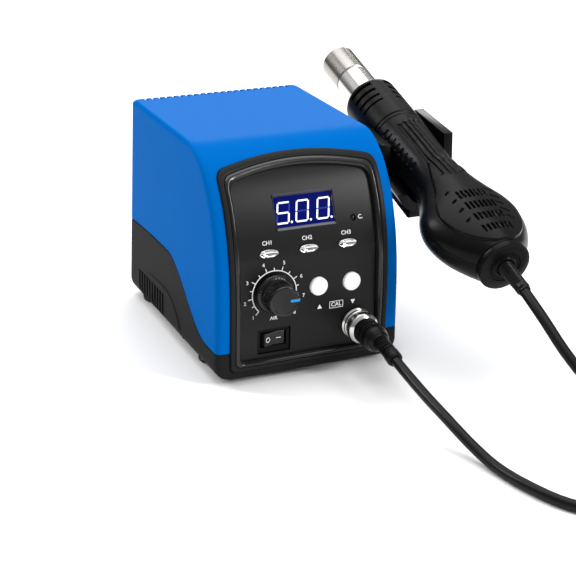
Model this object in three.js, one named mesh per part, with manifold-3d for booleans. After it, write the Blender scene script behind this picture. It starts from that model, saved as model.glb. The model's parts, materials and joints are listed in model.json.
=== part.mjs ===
// Hot air rework station: a desk unit with a display, and a blower handpiece in a holder on its side.
// Millimetres, +Z up. The station frame has x to the right as seen from the front, y towards the back,
// and z up from the underside of the tray. The exported group moves that frame so that the object's
// origin lies on the bench, in the middle of its footprint.

import * as THREE from "three";
import { mergeVertices } from "three/addons/utils/BufferGeometryUtils.js";
import Module from "manifold-3d";

const wasm = await Module();
wasm.setup();

// ---------------------------------------------------------------- driving dimensions

const gap = 0.3;

const housing = {
  halfWidth: 55,
  depth: 147.5,
  height: 122.4,
  wall: 2.5,
  sideDraft: 1.85,
  backLean: 5.8,
  bottomRadius: 9,
  frontEdgeRadius: 2.5,
  topRadius: 2.5,
  uprightRadius: 3.5,
  frontReach: 50,
  frontRise: 82.4,
  frontPower: 2.2,
};

const seam = { frontHeight: 16.3, rise: 33, riseStart: 16, riseEnd: 78, fallStart: 95, fall: 2.2 };
const foot = { height: 3, radius: 8, pegRadius: 2, x: 43, frontY: 36.5, backY: 131.5 };
const coverVent = { count: 22, pitch: 4.28, width: 2, frontY: 137, bottom: 100 };
const trayVent = { count: 10, pitch: 4.6, width: 2.2, firstY: 86, bottom: 4, top: 20 };

const bezel = { halfWidth: 47, bottom: 5.2, archEnd: 42, archEndHeight: 113.3, archPull: 121.5, corner: 3 };
const bezelRing = { width: 6.2, bottomShare: 0.74, proud: 1.4, depth: 5 };
const panel = { inset: 1.6, thickness: 2 };

const display = {
  z: 90.4, width: 35.6, height: 20, moduleWidth: 37.6, moduleHeight: 19, moduleFront: 3.6, moduleDepth: 8,
};
const channel = { z: 69.9, pitch: 23.3, halfLength: 5.6, halfHeight: 2.35, proud: 1, length: 7 };
const roundButton = { z: 47.3, x: [5.9, 25.9], radius: 5.6, proud: 0.8, length: 7 };
const knob = { x: -20.6, z: 47.2, skirtRadius: 11, faceRadius: 8.6, height: 14.4, shaftRadius: 3 };
const potentiometer = { halfWidth: 8, top: 8.6, front: 2.6, back: 10.6, bushRadius: 3.75 };
const powerSwitch = {
  x: -20.5, z: 19.6, width: 19.6, height: 14.4, bodyWidth: 17.2, bodyHeight: 11.6, bodyEnd: 17,
  sunk: 1.2, pivotDepth: 3, rockerRadius: 7.2, rockerHalfHeight: 4, rockerLift: 0.7, rockerTurn: 18,
};
const socket = { x: 29.5, z: 22, flangeRadius: 9.4, barrelRadius: 7.2, ringRadius: 9 };
const led = { x: 28, z: 82.9, radius: 1.45 };

const plug = { neckRadius: 6, bodyRadius: 6.7, reliefRadius: 3.6, collarRadius: 4.2, bodyEnd: -26 };
const inlet = { x: -24, z: 24, width: 27.4, height: 20.2, recessWidth: 24.6, recessHeight: 17.4, depth: 19 };

const rest = { x: 88, y: 107.7, z: 116.6, tilt: THREE.MathUtils.degToRad(17) };
const sleeve = { radius: 16.6, bore: 14.2, length: 50, rows: 4, rowPitch: 5.4 };
const heater = { radius: 10.9, bore: 9.9, reach: 47, inside: 42 };
const grip = { start: 50.3, end: 164.4, wall: 2.3, reliefHole: 4.5 };
const endCap = { radius: 15, start: 164.9, end: 169, hole: 4.6 };
const blower = { at: 137, radius: 19, wall: 1.8, floor: -11, top: 7, rotorRadius: 15.8, pinRadius: 2 };
const cradle = {
  bore: 17.4, outer: 21.9, start: 24, prongEnd: 62, end: 86, prongTop: 12.5, troughTop: -8,
  keelHalfWidth: 12, keel: -26, magnetAt: 30, magnetRadius: 4,
};
const bracket = {
  from: 54.4, to: 58.4, y: 62.5, z: 86, width: 38, height: 46, armY: 61, armZ: 101, armWidth: 24, armHeight: 15,
};
const holderScrewSeat = 58.7;

const cable = { radius: 2.9, sides: 8 };
const coil = { x: 158, y: -116, meanRadius: 32, turns: 2, layers: 2 };
const tie = { angle: 35, halfWidth: 2, band: 0.8 };

const controlBoard = { y: 16.5, bottom: 33, top: 76 };
const mainBoard = { z: 9.8, front: 56, back: 134 };
const board = { halfWidth: 38, thickness: 1.6 };
const transformer = { x: -14, y: 92, z: 30, coreWidth: 42, coreHeight: 36, halfStack: 8, halfWinding: 10.6 };
const sink = { x: 18, plate: 3, finReach: 36, front: 64, back: 102, top: 42, fins: 5, finPitch: 8 };

// The middle of the footprint of everything that isn't on the cable, in the station frame.
const footprint = { x: 31.28, y: 40.63 };

const benchLevel = -foot.height;

// ---------------------------------------------------------------- finishes

function finish(color, roughness, metalness) {
  return new THREE.MeshStandardMaterial({ color, roughness, metalness });
}

const blueShell = finish(0x0a66bd, 0.38, 0);
const blackShell = finish(0x1b1c1e, 0.5, 0);
const greyPanel = finish(0x2c2d30, 0.45, 0);
const blackPlastic = finish(0x17181a, 0.45, 0);
const rubber = finish(0x151515, 0.8, 0);
const smokedBlue = finish(0x0d1a66, 0.15, 0);
const whitePlastic = finish(0xe9e9e6, 0.4, 0);
const silverPlastic = finish(0xc9cbcd, 0.25, 0.7);
const pointerBlue = finish(0x1f86c8, 0.4, 0);
const chrome = finish(0xd4d6d8, 0.15, 1);
const polishedSteel = finish(0xb4b4b4, 0.22, 1);
const zincSteel = finish(0x9a9c9e, 0.35, 1);
const ceramic = finish(0xe4ddcf, 0.7, 0);
const boardGreen = finish(0x1d5a36, 0.5, 0);
const copper = finish(0xa85a2a, 0.4, 0.8);
const brassPlate = finish(0xc9a550, 0.35, 0.9);
const aluminium = finish(0xa9abad, 0.4, 0.9);
const darkLed = finish(0x240a0a, 0.3, 0);
const clearGrey = finish(0x3a3d44, 0.4, 0);

// ---------------------------------------------------------------- solid geometry helpers

function solidOf(geometry) {
  const bare = geometry.index ? geometry.toNonIndexed() : geometry.clone();
  bare.deleteAttribute("normal");
  bare.deleteAttribute("uv");
  const merged = mergeVertices(bare, 1e-3);
  const vertProperties = merged.attributes.position.array;
  const triVerts = new Uint32Array(merged.index.array);
  return new wasm.Manifold(new wasm.Mesh({ numProp: 3, vertProperties, triVerts }));
}

function geometryOf(solid) {
  const { vertProperties, triVerts } = solid.getMesh();
  const geometry = new THREE.BufferGeometry();
  geometry.setAttribute("position", new THREE.BufferAttribute(new Float32Array(vertProperties), 3));
  geometry.setIndex(new THREE.BufferAttribute(new Uint32Array(triVerts), 1));
  return geometry;
}

const combine = (first, others, join) =>
  geometryOf(others.map(solidOf).reduce((sum, other) => join(sum, other), solidOf(first)));
const cut = (first, ...others) => combine(first, others, (a, b) => a.subtract(b));
const unite = (first, ...others) => combine(first, others, (a, b) => a.add(b));
const overlap = (first, ...others) => combine(first, others, (a, b) => a.intersect(b));

function extrude(shape, depth, curveSegments = 8) {
  return new THREE.ExtrudeGeometry(shape, { depth, bevelEnabled: false, curveSegments });
}

// Prisms of an outline drawn in the yz, xz and xy planes.
const toX = new THREE.Matrix4().makeBasis(
  new THREE.Vector3(0, 1, 0),
  new THREE.Vector3(0, 0, 1),
  new THREE.Vector3(1, 0, 0),
);
function prismX(shape, from, to, segments) {
  return extrude(shape, to - from, segments).applyMatrix4(toX).translate(from, 0, 0);
}
function prismY(shape, from, to, segments) {
  return extrude(shape, to - from, segments).rotateX(Math.PI / 2).translate(0, to, 0);
}
function prismZ(shape, from, to, segments) {
  return extrude(shape, to - from, segments).translate(0, 0, from);
}

function box(x0, x1, y0, y1, z0, z1) {
  const geometry = new THREE.BoxGeometry(x1 - x0, y1 - y0, z1 - z0);
  return geometry.translate((x0 + x1) / 2, (y0 + y1) / 2, (z0 + z1) / 2);
}

// A turned piece about the Y axis, from [radius, y] pairs in either direction.
function turned(profile, segments = 24) {
  const points = profile.map(([radius, y]) => new THREE.Vector2(radius, y));
  if (THREE.ShapeUtils.area(points) < 0) points.reverse();
  return new THREE.LatheGeometry(points, segments);
}

const rod = (radius, y0, y1, segments = 20) =>
  new THREE.CylinderGeometry(radius, radius, y1 - y0, segments).translate(0, (y0 + y1) / 2, 0);
const rodX = (radius, x0, x1, segments) => rod(radius, x0, x1, segments).rotateZ(-Math.PI / 2);
const rodZ = (radius, z0, z1, segments) => rod(radius, z0, z1, segments).rotateX(Math.PI / 2);

// A round tube along a curve.
function tubeAlong(path, radius, sides, steps) {
  const section = new THREE.Shape();
  for (let side = 0; side < sides; side++) {
    const angle = (2 * Math.PI * side) / sides;
    const point = [radius * Math.cos(angle), radius * Math.sin(angle)];
    if (side === 0) section.moveTo(...point);
    else section.lineTo(...point);
  }
  section.closePath();
  return new THREE.ExtrudeGeometry(section, { steps, extrudePath: path, curveSegments: 1 });
}

function roundedRectangle(width, height, radius) {
  const x = width / 2;
  const y = height / 2;
  const shape = new THREE.Shape();
  shape.moveTo(radius - x, -y);
  shape.absarc(x - radius, radius - y, radius, -Math.PI / 2, 0);
  shape.absarc(x - radius, y - radius, radius, 0, Math.PI / 2);
  shape.absarc(radius - x, y - radius, radius, Math.PI / 2, Math.PI);
  shape.absarc(radius - x, radius - y, radius, Math.PI, Math.PI * 1.5);
  return shape;
}

function ellipse(halfWidth, halfHeight) {
  return new THREE.Shape().absellipse(0, 0, halfWidth, halfHeight, 0, Math.PI * 2);
}

function rectangularRing(outer, inner) {
  const shape = roundedRectangle(...outer);
  shape.holes.push(new THREE.Path(roundedRectangle(...inner).getPoints(2)));
  return shape;
}

// ---------------------------------------------------------------- scene graph

const station = new THREE.Group();
station.position.set(-footprint.x, -footprint.y, foot.height);

const restFrame = new THREE.Group();
restFrame.position.set(rest.x, rest.y, rest.z);
restFrame.rotation.x = rest.tilt;
station.add(restFrame);

function addPiece(name, geometry, material, parent = station) {
  const mesh = new THREE.Mesh(geometry, material);
  mesh.name = name;
  parent.add(mesh);
  return mesh;
}

// ---------------------------------------------------------------- housing form

// The front wall is a superellipse that leans back into the top. Inset moves it inwards.
function frontY(z, inset = 0) {
  const { height, frontReach, frontRise, frontPower } = housing;
  const rise = THREE.MathUtils.clamp((z - height + frontRise) / (frontRise - inset), 0, 1);
  return frontReach - (frontReach - inset) * Math.pow(1 - Math.pow(rise, frontPower), 1 / frontPower);
}

function frontLean(z) {
  const step = 0.5;
  return Math.atan2(frontY(z + step) - frontY(z - step), 2 * step);
}

function sideOutline(inset) {
  const { depth, height, backLean, frontEdgeRadius, topRadius, frontReach, frontRise, frontPower } = housing;
  const edge = Math.max(frontEdgeRadius - inset, 0.1);
  const back = depth - inset;
  const backTop = depth - backLean - inset;
  const top = height - inset;
  const shape = new THREE.Shape();
  shape.moveTo(inset + edge, inset);
  shape.lineTo(back - topRadius, inset);
  shape.quadraticCurveTo(back, inset, back - 0.2, inset + topRadius);
  shape.lineTo(backTop, top - topRadius);
  shape.quadraticCurveTo(backTop, top, backTop - topRadius, top);
  const steps = 11;
  for (let step = 0; step <= steps; step++) {
    const angle = (Math.PI / 2) * (1 - step / steps);
    const across = Math.pow(Math.cos(angle), 2 / frontPower);
    const up = Math.pow(Math.sin(angle), 2 / frontPower);
    shape.lineTo(frontReach - (frontReach - inset) * across, height - frontRise + (frontRise - inset) * up);
  }
  shape.absarc(inset + edge, inset + edge, edge, Math.PI, Math.PI * 1.5);
  return shape;
}

function frontOutline(inset) {
  const { halfWidth, height, sideDraft, bottomRadius, topRadius } = housing;
  const low = halfWidth - inset;
  const high = halfWidth - sideDraft - inset;
  const top = height - inset;
  const shape = new THREE.Shape();
  shape.moveTo(bottomRadius - halfWidth, inset);
  shape.absarc(halfWidth - bottomRadius, bottomRadius, bottomRadius - inset, -Math.PI / 2, 0);
  shape.lineTo(low, bottomRadius);
  shape.lineTo(high, top - topRadius);
  shape.quadraticCurveTo(high, top, high - topRadius, top);
  shape.lineTo(topRadius - high, top);
  shape.quadraticCurveTo(-high, top, -high, top - topRadius);
  shape.lineTo(-low, bottomRadius);
  shape.absarc(bottomRadius - halfWidth, bottomRadius, bottomRadius - inset, Math.PI, Math.PI * 1.5);
  return shape;
}

function planOutline(inset) {
  const { halfWidth, depth, uprightRadius } = housing;
  return roundedRectangle(2 * (halfWidth - inset), depth - 2 * inset, uprightRadius);
}

function housingForm(inset) {
  const reach = 200;
  const plan = prismZ(planOutline(inset), -reach, reach, 3).translate(0, housing.depth / 2, 0);
  const side = prismX(sideOutline(inset), -reach, reach, 3);
  const front = prismY(frontOutline(inset), -reach, reach, 3);
  return overlap(side, front, plan);
}

// The line where the blue cover meets the black tray, as a height for each y.
function seamHeight(y) {
  const rise = seam.rise * THREE.MathUtils.smoothstep(y, seam.riseStart, seam.riseEnd);
  const fall = seam.fall * THREE.MathUtils.smoothstep(y, seam.fallStart, 2 * housing.depth - seam.fallStart);
  return seam.frontHeight + rise - 2 * fall;
}

function belowSeam(offset) {
  const margin = 10;
  const shape = new THREE.Shape();
  shape.moveTo(-margin, -margin);
  shape.lineTo(housing.depth + margin, -margin);
  for (let y = housing.depth + margin; y >= seam.riseStart; y -= 5) shape.lineTo(y, seamHeight(y) + offset);
  shape.lineTo(-margin, seam.frontHeight + offset);
  return prismX(shape, -100, 100);
}

// The bezel's outline, moved inwards. The band is narrower along the bottom than on the sides.
function bezelOutline(inset) {
  const { corner } = bezel;
  const side = bezel.halfWidth - inset;
  const bottom = bezel.bottom + bezelRing.bottomShare * inset;
  const archEnd = bezel.archEnd - 0.8 * inset;
  const archHeight = bezel.archEndHeight - inset;
  const shape = new THREE.Shape();
  shape.moveTo(corner - side, bottom);
  shape.absarc(side - corner, bottom + corner, corner, -Math.PI / 2, 0);
  shape.lineTo(side, archHeight - 6.3);
  shape.quadraticCurveTo(side, archHeight - 1, archEnd, archHeight);
  shape.quadraticCurveTo(0, bezel.archPull - inset, -archEnd, archHeight);
  shape.quadraticCurveTo(-side, archHeight - 1, -side, archHeight - 6.3);
  shape.absarc(corner - side, bottom + corner, corner, Math.PI, Math.PI * 1.5);
  return shape;
}

const behindFront = 60;
const bezelPrism = (inset) => prismY(bezelOutline(inset), -10, behindFront, 4);
// The layer of space between two depths behind the front wall.
function frontBand(from, to) {
  return cut(prismX(sideOutline(from), -60, 60, 3), prismX(sideOutline(to), -70, 70, 3));
}

const shell = cut(housingForm(0), housingForm(housing.wall));
const openShell = cut(shell, bezelPrism(0));

// ---------------------------------------------------------------- cover and tray

const screwPlaces = [-1, 1].flatMap((side) => [22, 112].map((y) => ({ side, x: side * 46, y })));
const footPlaces = [-1, 1].flatMap((side) => [foot.frontY, foot.backY].map((y) => ({ x: side * foot.x, y })));
const holderScrewPlaces = [52, 73].map((y) => ({ y, z: 74 }));

// A post inside the cover that a tray screw goes up into. Its upper part joins the side wall.
function coverPost({ side, x, y }) {
  const span = (inner, outer) => [side * inner, side * outer].sort((a, b) => a - b);
  const lower = box(...span(42, 51.1), y - 4, y + 4, 9, 60);
  const upper = box(...span(42, 52.4), y - 4, y + 4, 56, 72);
  return cut(unite(lower, upper), rodZ(1.8, 5, 24, 12).translate(x, y, 0));
}

function topCover() {
  const vents = Array.from({ length: coverVent.count }, (_, index) => {
    const x = (index - (coverVent.count - 1) / 2) * coverVent.pitch;
    const { width, frontY: start, bottom } = coverVent;
    return box(x - width / 2, x + width / 2, start, housing.depth + 5, bottom, housing.height + 5);
  });
  const screwHoles = holderScrewPlaces.map(({ y, z }) => rodX(2, 40, 60, 12).translate(0, y, z));
  const cover = unite(cut(openShell, belowSeam(gap / 2)), ...screwPlaces.map(coverPost));
  return cut(cover, ...vents, ...screwHoles);
}

function baseTray() {
  const vents = Array.from({ length: trayVent.count }, (_, index) => {
    const y = trayVent.firstY + index * trayVent.pitch;
    return box(-60, 60, y - trayVent.width / 2, y + trayVent.width / 2, trayVent.bottom, trayVent.top);
  });
  const feet = footPlaces.map(({ x, y }) => rodZ(foot.pegRadius + gap, -5, 5, 12).translate(x, y, 0));
  const screws = screwPlaces.map(({ x, y }) => rodZ(1.8, -5, 5, 12).translate(x, y, 0));
  const standoffs = [-34, 34].flatMap((x) => [62, 128].map((y) => rodZ(3, 2, 9.4, 12).translate(x, y, 0)));
  const inletHole = box(
    inlet.x - inlet.width / 2 - gap, inlet.x + inlet.width / 2 + gap, 130, 160,
    inlet.z - inlet.height / 2 - gap, inlet.z + inlet.height / 2 + gap,
  );
  const tray = overlap(openShell, belowSeam(-gap / 2));
  return unite(cut(tray, ...vents, ...feet, ...screws, inletHole), ...standoffs);
}

addPiece("top_cover", topCover(), blueShell);
addPiece("base_tray", baseTray(), blackShell);

footPlaces.forEach(({ x, y }, index) => {
  const { height, radius, pegRadius } = foot;
  const profile = [
    [0, -height], [radius - 0.8, -height], [radius, 0.6 - height], [radius, -gap], [pegRadius, -gap],
    [pegRadius, 2.2], [0, 2.2],
  ];
  const piece = addPiece(`foot_${index + 1}`, turned(profile, 14).rotateX(Math.PI / 2), rubber);
  piece.position.set(x, y, 0);
});

screwPlaces.forEach(({ x, y }, index) => {
  const profile = [[0, -1.9], [2.2, -1.9], [2.9, -1.2], [2.9, -gap], [1.4, -gap], [1.4, 19], [0, 20]];
  const piece = addPiece(`tray_screw_${index + 1}`, turned(profile, 8).rotateX(Math.PI / 2), zincSteel);
  piece.position.set(x, y, 0);
});

// ---------------------------------------------------------------- front panel and its controls

// Puts a piece drawn about its own origin, with +Y into the housing, on the panel's front face.
function onPanel(target, x, z) {
  const lean = frontLean(z);
  const depth = panel.inset;
  const matrix = new THREE.Matrix4().makeRotationX(-lean);
  matrix.setPosition(x, frontY(z) + depth * Math.cos(lean), z - depth * Math.sin(lean));
  return target.applyMatrix4(matrix);
}

const channelPlaces = [-1, 0, 1].map((index) => index * channel.pitch);

function frontPanel() {
  const layer = frontBand(panel.inset, panel.inset + panel.thickness);
  const plate = overlap(bezelPrism(bezelRing.width + gap), layer);
  const windowHole = prismY(roundedRectangle(display.width, display.height, 1), -5, 8, 2);
  const channelHole = () => prismY(ellipse(channel.halfLength + gap, channel.halfHeight + gap), -5, 8, 8);
  const { width, height } = powerSwitch;
  return cut(
    plate,
    onPanel(windowHole, 0, display.z),
    ...channelPlaces.map((x) => onPanel(channelHole(), x, channel.z)),
    ...roundButton.x.map((x) => onPanel(rod(roundButton.radius + gap, -5, 8, 20), x, roundButton.z)),
    onPanel(rod(led.radius + gap, -5, 8, 8), led.x, led.z),
    onPanel(rod(4, -5, 8, 12), knob.x, knob.z),
    onPanel(rod(socket.barrelRadius + gap, -5, 8, 20), socket.x, socket.z),
    onPanel(prismY(roundedRectangle(width, height, 0.6), -5, 8, 1), powerSwitch.x, powerSwitch.z),
  );
}

function frontBezel() {
  const ring = cut(bezelPrism(gap), bezelPrism(bezelRing.width));
  return overlap(ring, frontBand(-bezelRing.proud, bezelRing.depth));
}

addPiece("front_bezel", frontBezel(), blackShell);
addPiece("front_panel", frontPanel(), greyPanel);

const lens = prismY(roundedRectangle(display.width - 2 * gap, display.height - 2 * gap, 0.7), 0.9, 2.6, 2);
onPanel(addPiece("display_window", lens, smokedBlue), 0, display.z);
const moduleHalf = { x: display.moduleWidth / 2, z: display.moduleHeight / 2 };
const moduleBack = display.moduleFront + display.moduleDepth;
const displayBox = box(-moduleHalf.x, moduleHalf.x, display.moduleFront, moduleBack, -moduleHalf.z, moduleHalf.z);
onPanel(addPiece("display_module", displayBox, clearGrey), 0, display.z);
onPanel(addPiece("indicator_led", rod(led.radius, 0.6, 7, 12), darkLed), led.x, led.z);

channelPlaces.forEach((x, index) => {
  const cap = prismY(ellipse(channel.halfLength, channel.halfHeight), -channel.proud, channel.length, 8);
  onPanel(addPiece(`channel_${index + 1}_button`, cap, silverPlastic), x, channel.z);
});

["up_button", "down_button"].forEach((name, index) => {
  const { radius, proud, length, x, z } = roundButton;
  const profile = [
    [0, -proud - 0.3], [radius - 1, -proud], [radius, 0.2 - proud], [radius, length], [0, length],
  ];
  onPanel(addPiece(name, turned(profile, 24), whitePlastic), x[index], z);
});

function airKnob() {
  const { skirtRadius, faceRadius, height, shaftRadius } = knob;
  const bore = shaftRadius + 0.4;
  const profile = [
    [0, -height], [faceRadius - 0.8, -height], [faceRadius, 0.8 - height], [9.4, -3.5], [10.6, -2.4],
    [skirtRadius, -0.4], [9.4, -0.4], [9.4, -2], [bore, -2], [bore, -9], [0, -9],
  ];
  const slot = box(2.2, faceRadius + 2, -height - 1, 0.9 - height, -0.9, 0.9);
  return cut(turned(profile, 24), slot);
}

const pointerBar = box(2.5, knob.faceRadius - 0.9, -knob.height, 0.6 - knob.height, -0.6, 0.6);
const knobPieces = [
  addPiece("air_knob", airKnob(), blackPlastic),
  addPiece("knob_pointer", pointerBar, pointerBlue),
  addPiece("pot_shaft", rod(knob.shaftRadius, -8.6, 6, 16), zincSteel),
];
for (const piece of knobPieces) onPanel(piece, knob.x, knob.z);

const potBody = unite(
  box(
    -potentiometer.halfWidth, potentiometer.halfWidth, potentiometer.front, potentiometer.back,
    -potentiometer.halfWidth, potentiometer.top,
  ),
  rod(potentiometer.bushRadius, -1.2, 4, 16),
);
const potBore = rod(knob.shaftRadius + 0.25, -3, 6.4, 16);
onPanel(addPiece("air_potentiometer", cut(potBody, potBore), clearGrey), knob.x, knob.z);

// The rocker is a drum about an upright pivot with two flats on its front: the right one is pressed in.
function rockerDrum() {
  const { rockerRadius, rockerHalfHeight, rockerTurn, pivotDepth } = powerSwitch;
  const reach = 8;
  const rise = reach * Math.tan(THREE.MathUtils.degToRad(rockerTurn));
  const face = new THREE.Shape();
  face.moveTo(-reach, 2.4);
  face.lineTo(-reach, -pivotDepth - rise);
  face.lineTo(0, -pivotDepth);
  face.lineTo(reach, -pivotDepth);
  face.lineTo(reach, 2.4);
  return overlap(rodZ(rockerRadius, -rockerHalfHeight, rockerHalfHeight, 36), prismZ(face, -6, 6));
}

function switchHousing() {
  const { width, height, bodyWidth, bodyHeight, bodyEnd, rockerRadius, rockerHalfHeight } = powerSwitch;
  const flange = prismY(roundedRectangle(width - 2 * gap, height - 2 * gap, 0.5), 0, 2.2);
  const body = box(-bodyWidth / 2, bodyWidth / 2, 2, bodyEnd, -bodyHeight / 2, bodyHeight / 2);
  const pocket = rodZ(rockerRadius + gap, -rockerHalfHeight - gap, rockerHalfHeight + gap, 36);
  return cut(unite(flange, body), pocket.translate(0, powerSwitch.pivotDepth, powerSwitch.rockerLift));
}

const switchBody = switchHousing().translate(0, powerSwitch.sunk, 0);
const rocker = rockerDrum().translate(0, powerSwitch.sunk + powerSwitch.pivotDepth, powerSwitch.rockerLift);
onPanel(addPiece("power_switch_housing", switchBody, blackPlastic), powerSwitch.x, powerSwitch.z);
onPanel(addPiece("power_rocker", rocker, blackPlastic), powerSwitch.x, powerSwitch.z);

// ---------------------------------------------------------------- handpiece connector

const socketBody = unite(
  rod(socket.flangeRadius, -2.2, -gap, 24),
  rod(socket.barrelRadius, -8, 11, 20),
  rod(socket.flangeRadius, 2.3 + gap, 4.6, 6),
);
onPanel(addPiece("connector_socket", socketBody, chrome), socket.x, socket.z);

const ringProfile = [
  [socket.barrelRadius + gap, -2.5], [socket.ringRadius, -2.5], [socket.ringRadius, -10.2], [8.2, -11],
  [plug.neckRadius + gap, -11], [plug.neckRadius + gap, -8.6], [socket.barrelRadius + gap, -8.6],
  [socket.barrelRadius + gap, -2.5],
];
onPanel(addPiece("plug_ring", turned(ringProfile, 24), chrome), socket.x, socket.z);

// The boot of the plug ends in a thin relief that the cable pulls slightly down.
const reliefEnd = { x: 28.9, y: -46, z: 19.8 };

function plugBoot() {
  const { neckRadius, bodyRadius, reliefRadius, collarRadius, bodyEnd } = plug;
  const profile = [
    [0, bodyEnd - 2.5], [3.8, bodyEnd - 2.5], [5.2, bodyEnd - 1.2], [6.2, bodyEnd], [bodyRadius, bodyEnd + 4],
    [bodyRadius, -10], [neckRadius, -9.8], [neckRadius, -6.8], [0, -6.8],
  ];
  const start = new THREE.Vector3(socket.x, bodyEnd - 1, socket.z);
  const bend = new THREE.Vector3(socket.x, bodyEnd - 9, socket.z);
  const end = new THREE.Vector3(reliefEnd.x, reliefEnd.y, reliefEnd.z);
  const axis = new THREE.QuadraticBezierCurve3(start, bend, end);
  const collarAxis = new THREE.LineCurve3(axis.getPoint(0.76), end);
  const body = turned(profile, 20).translate(socket.x, 0, socket.z);
  return unite(body, tubeAlong(axis, reliefRadius, 12, 8), tubeAlong(collarAxis, collarRadius, 12, 2));
}

addPiece("plug_boot", plugBoot(), rubber);

// ---------------------------------------------------------------- inside the station

function boardSlab(y0, y1, z0, z1) {
  return box(-board.halfWidth, board.halfWidth, y0, y1, z0, z1);
}
const controlBack = controlBoard.y + board.thickness;
const controlSlab = boardSlab(controlBoard.y, controlBack, controlBoard.bottom, controlBoard.top);
addPiece("control_board", controlSlab, boardGreen);
const mainSlab = boardSlab(mainBoard.front, mainBoard.back, mainBoard.z, mainBoard.z + board.thickness);
addPiece("main_board", mainSlab, boardGreen);

// An iron core with two windows, which the winding goes round the middle leg of.
function transformerCore() {
  const outline = roundedRectangle(transformer.coreWidth, transformer.coreHeight, 0.5);
  for (const side of [-1, 1]) {
    const corners = roundedRectangle(8.4, 22, 0.3).getPoints(1);
    outline.holes.push(new THREE.Path(corners.map((point) => point.add(new THREE.Vector2(side * 10, 0)))));
  }
  return prismY(outline, -transformer.halfStack, transformer.halfStack, 1);
}

const transformerPlace = new THREE.Group();
transformerPlace.position.set(transformer.x, transformer.y, transformer.z);
station.add(transformerPlace);
addPiece("transformer_core", transformerCore(), zincSteel, transformerPlace);
const windingSection = rectangularRing([27.4, 30, 3], [11.9, 16.6, 0.5]);
const winding = prismZ(windingSection, -transformer.halfWinding, transformer.halfWinding, 3);
addPiece("transformer_winding", winding, copper, transformerPlace);

function heatsink() {
  const bottom = mainBoard.z + board.thickness + 0.4;
  const fins = Array.from({ length: sink.fins }, (_, index) => {
    const y = sink.front + 2 + index * sink.finPitch;
    return box(sink.x + sink.plate - 0.1, sink.finReach, y, y + 2, bottom, sink.top);
  });
  return unite(box(sink.x, sink.x + sink.plate, sink.front, sink.back, bottom, sink.top), ...fins);
}
addPiece("heatsink", heatsink(), aluminium);
addPiece("power_triac", unite(box(13, 17.6, 77, 87, 17, 27), box(16.6, 17.6, 77, 87, 26, 32)), blackPlastic);

function mainsInlet() {
  const { width, height, recessWidth, recessHeight, depth } = inlet;
  const body = prismY(roundedRectangle(width, height, 2), -depth, 1, 1);
  const flange = prismY(roundedRectangle(width + 5, height + 4, 2.5), gap, 2.2, 2);
  const recess = prismY(roundedRectangle(recessWidth, recessHeight, 2), 2.5 - depth, 5, 2);
  return cut(unite(body, flange), recess);
}

const inletGroup = new THREE.Group();
inletGroup.position.set(inlet.x, housing.depth + 0.1, inlet.z);
station.add(inletGroup);
addPiece("mains_inlet", mainsInlet(), blackPlastic, inletGroup);
const pinPlaces = { line: [-7, -1], neutral: [7, -1], earth: [0, 3] };
for (const [name, [x, z]] of Object.entries(pinPlaces)) {
  const blade = box(x - 1, x + 1, 2.8 - inlet.depth, -3, z - 2, z + 2);
  addPiece(`inlet_pin_${name}`, blade, brassPlate, inletGroup);
}

// ---------------------------------------------------------------- holder

// In the rest frame +Y points to the nozzle, so a distance s along the handpiece is at y = -s.

function cradleTrough() {
  const { bore, outer, start, prongEnd, end, prongTop, troughTop, keelHalfWidth, keel } = cradle;
  const section = new THREE.Shape();
  section.moveTo(-outer, 0);
  section.absarc(0, 0, outer, Math.PI, 2 * Math.PI);
  section.lineTo(outer, prongTop - 2);
  section.lineTo(outer - 1.2, prongTop);
  section.lineTo(bore + 0.6, prongTop);
  section.lineTo(bore, prongTop - 1.5);
  section.absarc(0, 0, bore, 0, Math.PI, true);
  section.lineTo(-bore, prongTop - 1.5);
  section.lineTo(-bore - 0.6, prongTop);
  section.lineTo(1.2 - outer, prongTop);
  section.lineTo(-outer, prongTop - 2);
  section.closePath();
  const trough = prismY(section, -end, -start, 9);
  const keelBlock = box(-keelHalfWidth, keelHalfWidth, -end, -start - 14, keel, -18.5);
  const frontCut = new THREE.Shape();
  frontCut.moveTo(-prongEnd + 3, prongTop + 1);
  frontCut.lineTo(-prongEnd - 6, troughTop);
  frontCut.lineTo(-end - 5, troughTop);
  frontCut.lineTo(-end - 5, prongTop + 1);
  const backCut = new THREE.Shape();
  backCut.moveTo(-start + 5, prongTop - 6);
  backCut.lineTo(-start + 5, prongTop + 1);
  backCut.lineTo(-start - 5, prongTop + 1);
  const magnetPocket = rodZ(cradle.magnetRadius + gap, -outer - 1, 2.4 - outer, 16);
  magnetPocket.translate(0, -cradle.magnetAt, 0);
  return cut(unite(trough, keelBlock), prismX(frontCut, -30, 30), prismX(backCut, -30, 30), magnetPocket);
}

addPiece("holder_cradle", cradleTrough(), blackPlastic, restFrame);
const magnet = addPiece("holder_magnet", rodZ(cradle.magnetRadius, -2, 0, 16), zincSteel, restFrame);
magnet.position.set(0, -cradle.magnetAt, 2 - cradle.outer);

function holderBracket() {
  const { from, to, y, z, width, height, armY, armZ, armWidth, armHeight } = bracket;
  const plate = prismX(roundedRectangle(width, height, 4), from, to, 4).translate(0, y, z);
  const armEnd = rest.x - cradle.outer - gap;
  const arm = prismX(roundedRectangle(armWidth, armHeight, 3), to - 0.4, armEnd, 4).translate(0, armY, armZ);
  const holes = holderScrewPlaces.map((at) => rodX(2, from - 4, to + 4, 12).translate(0, at.y, at.z));
  return cut(unite(plate, arm), ...holes);
}

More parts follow.
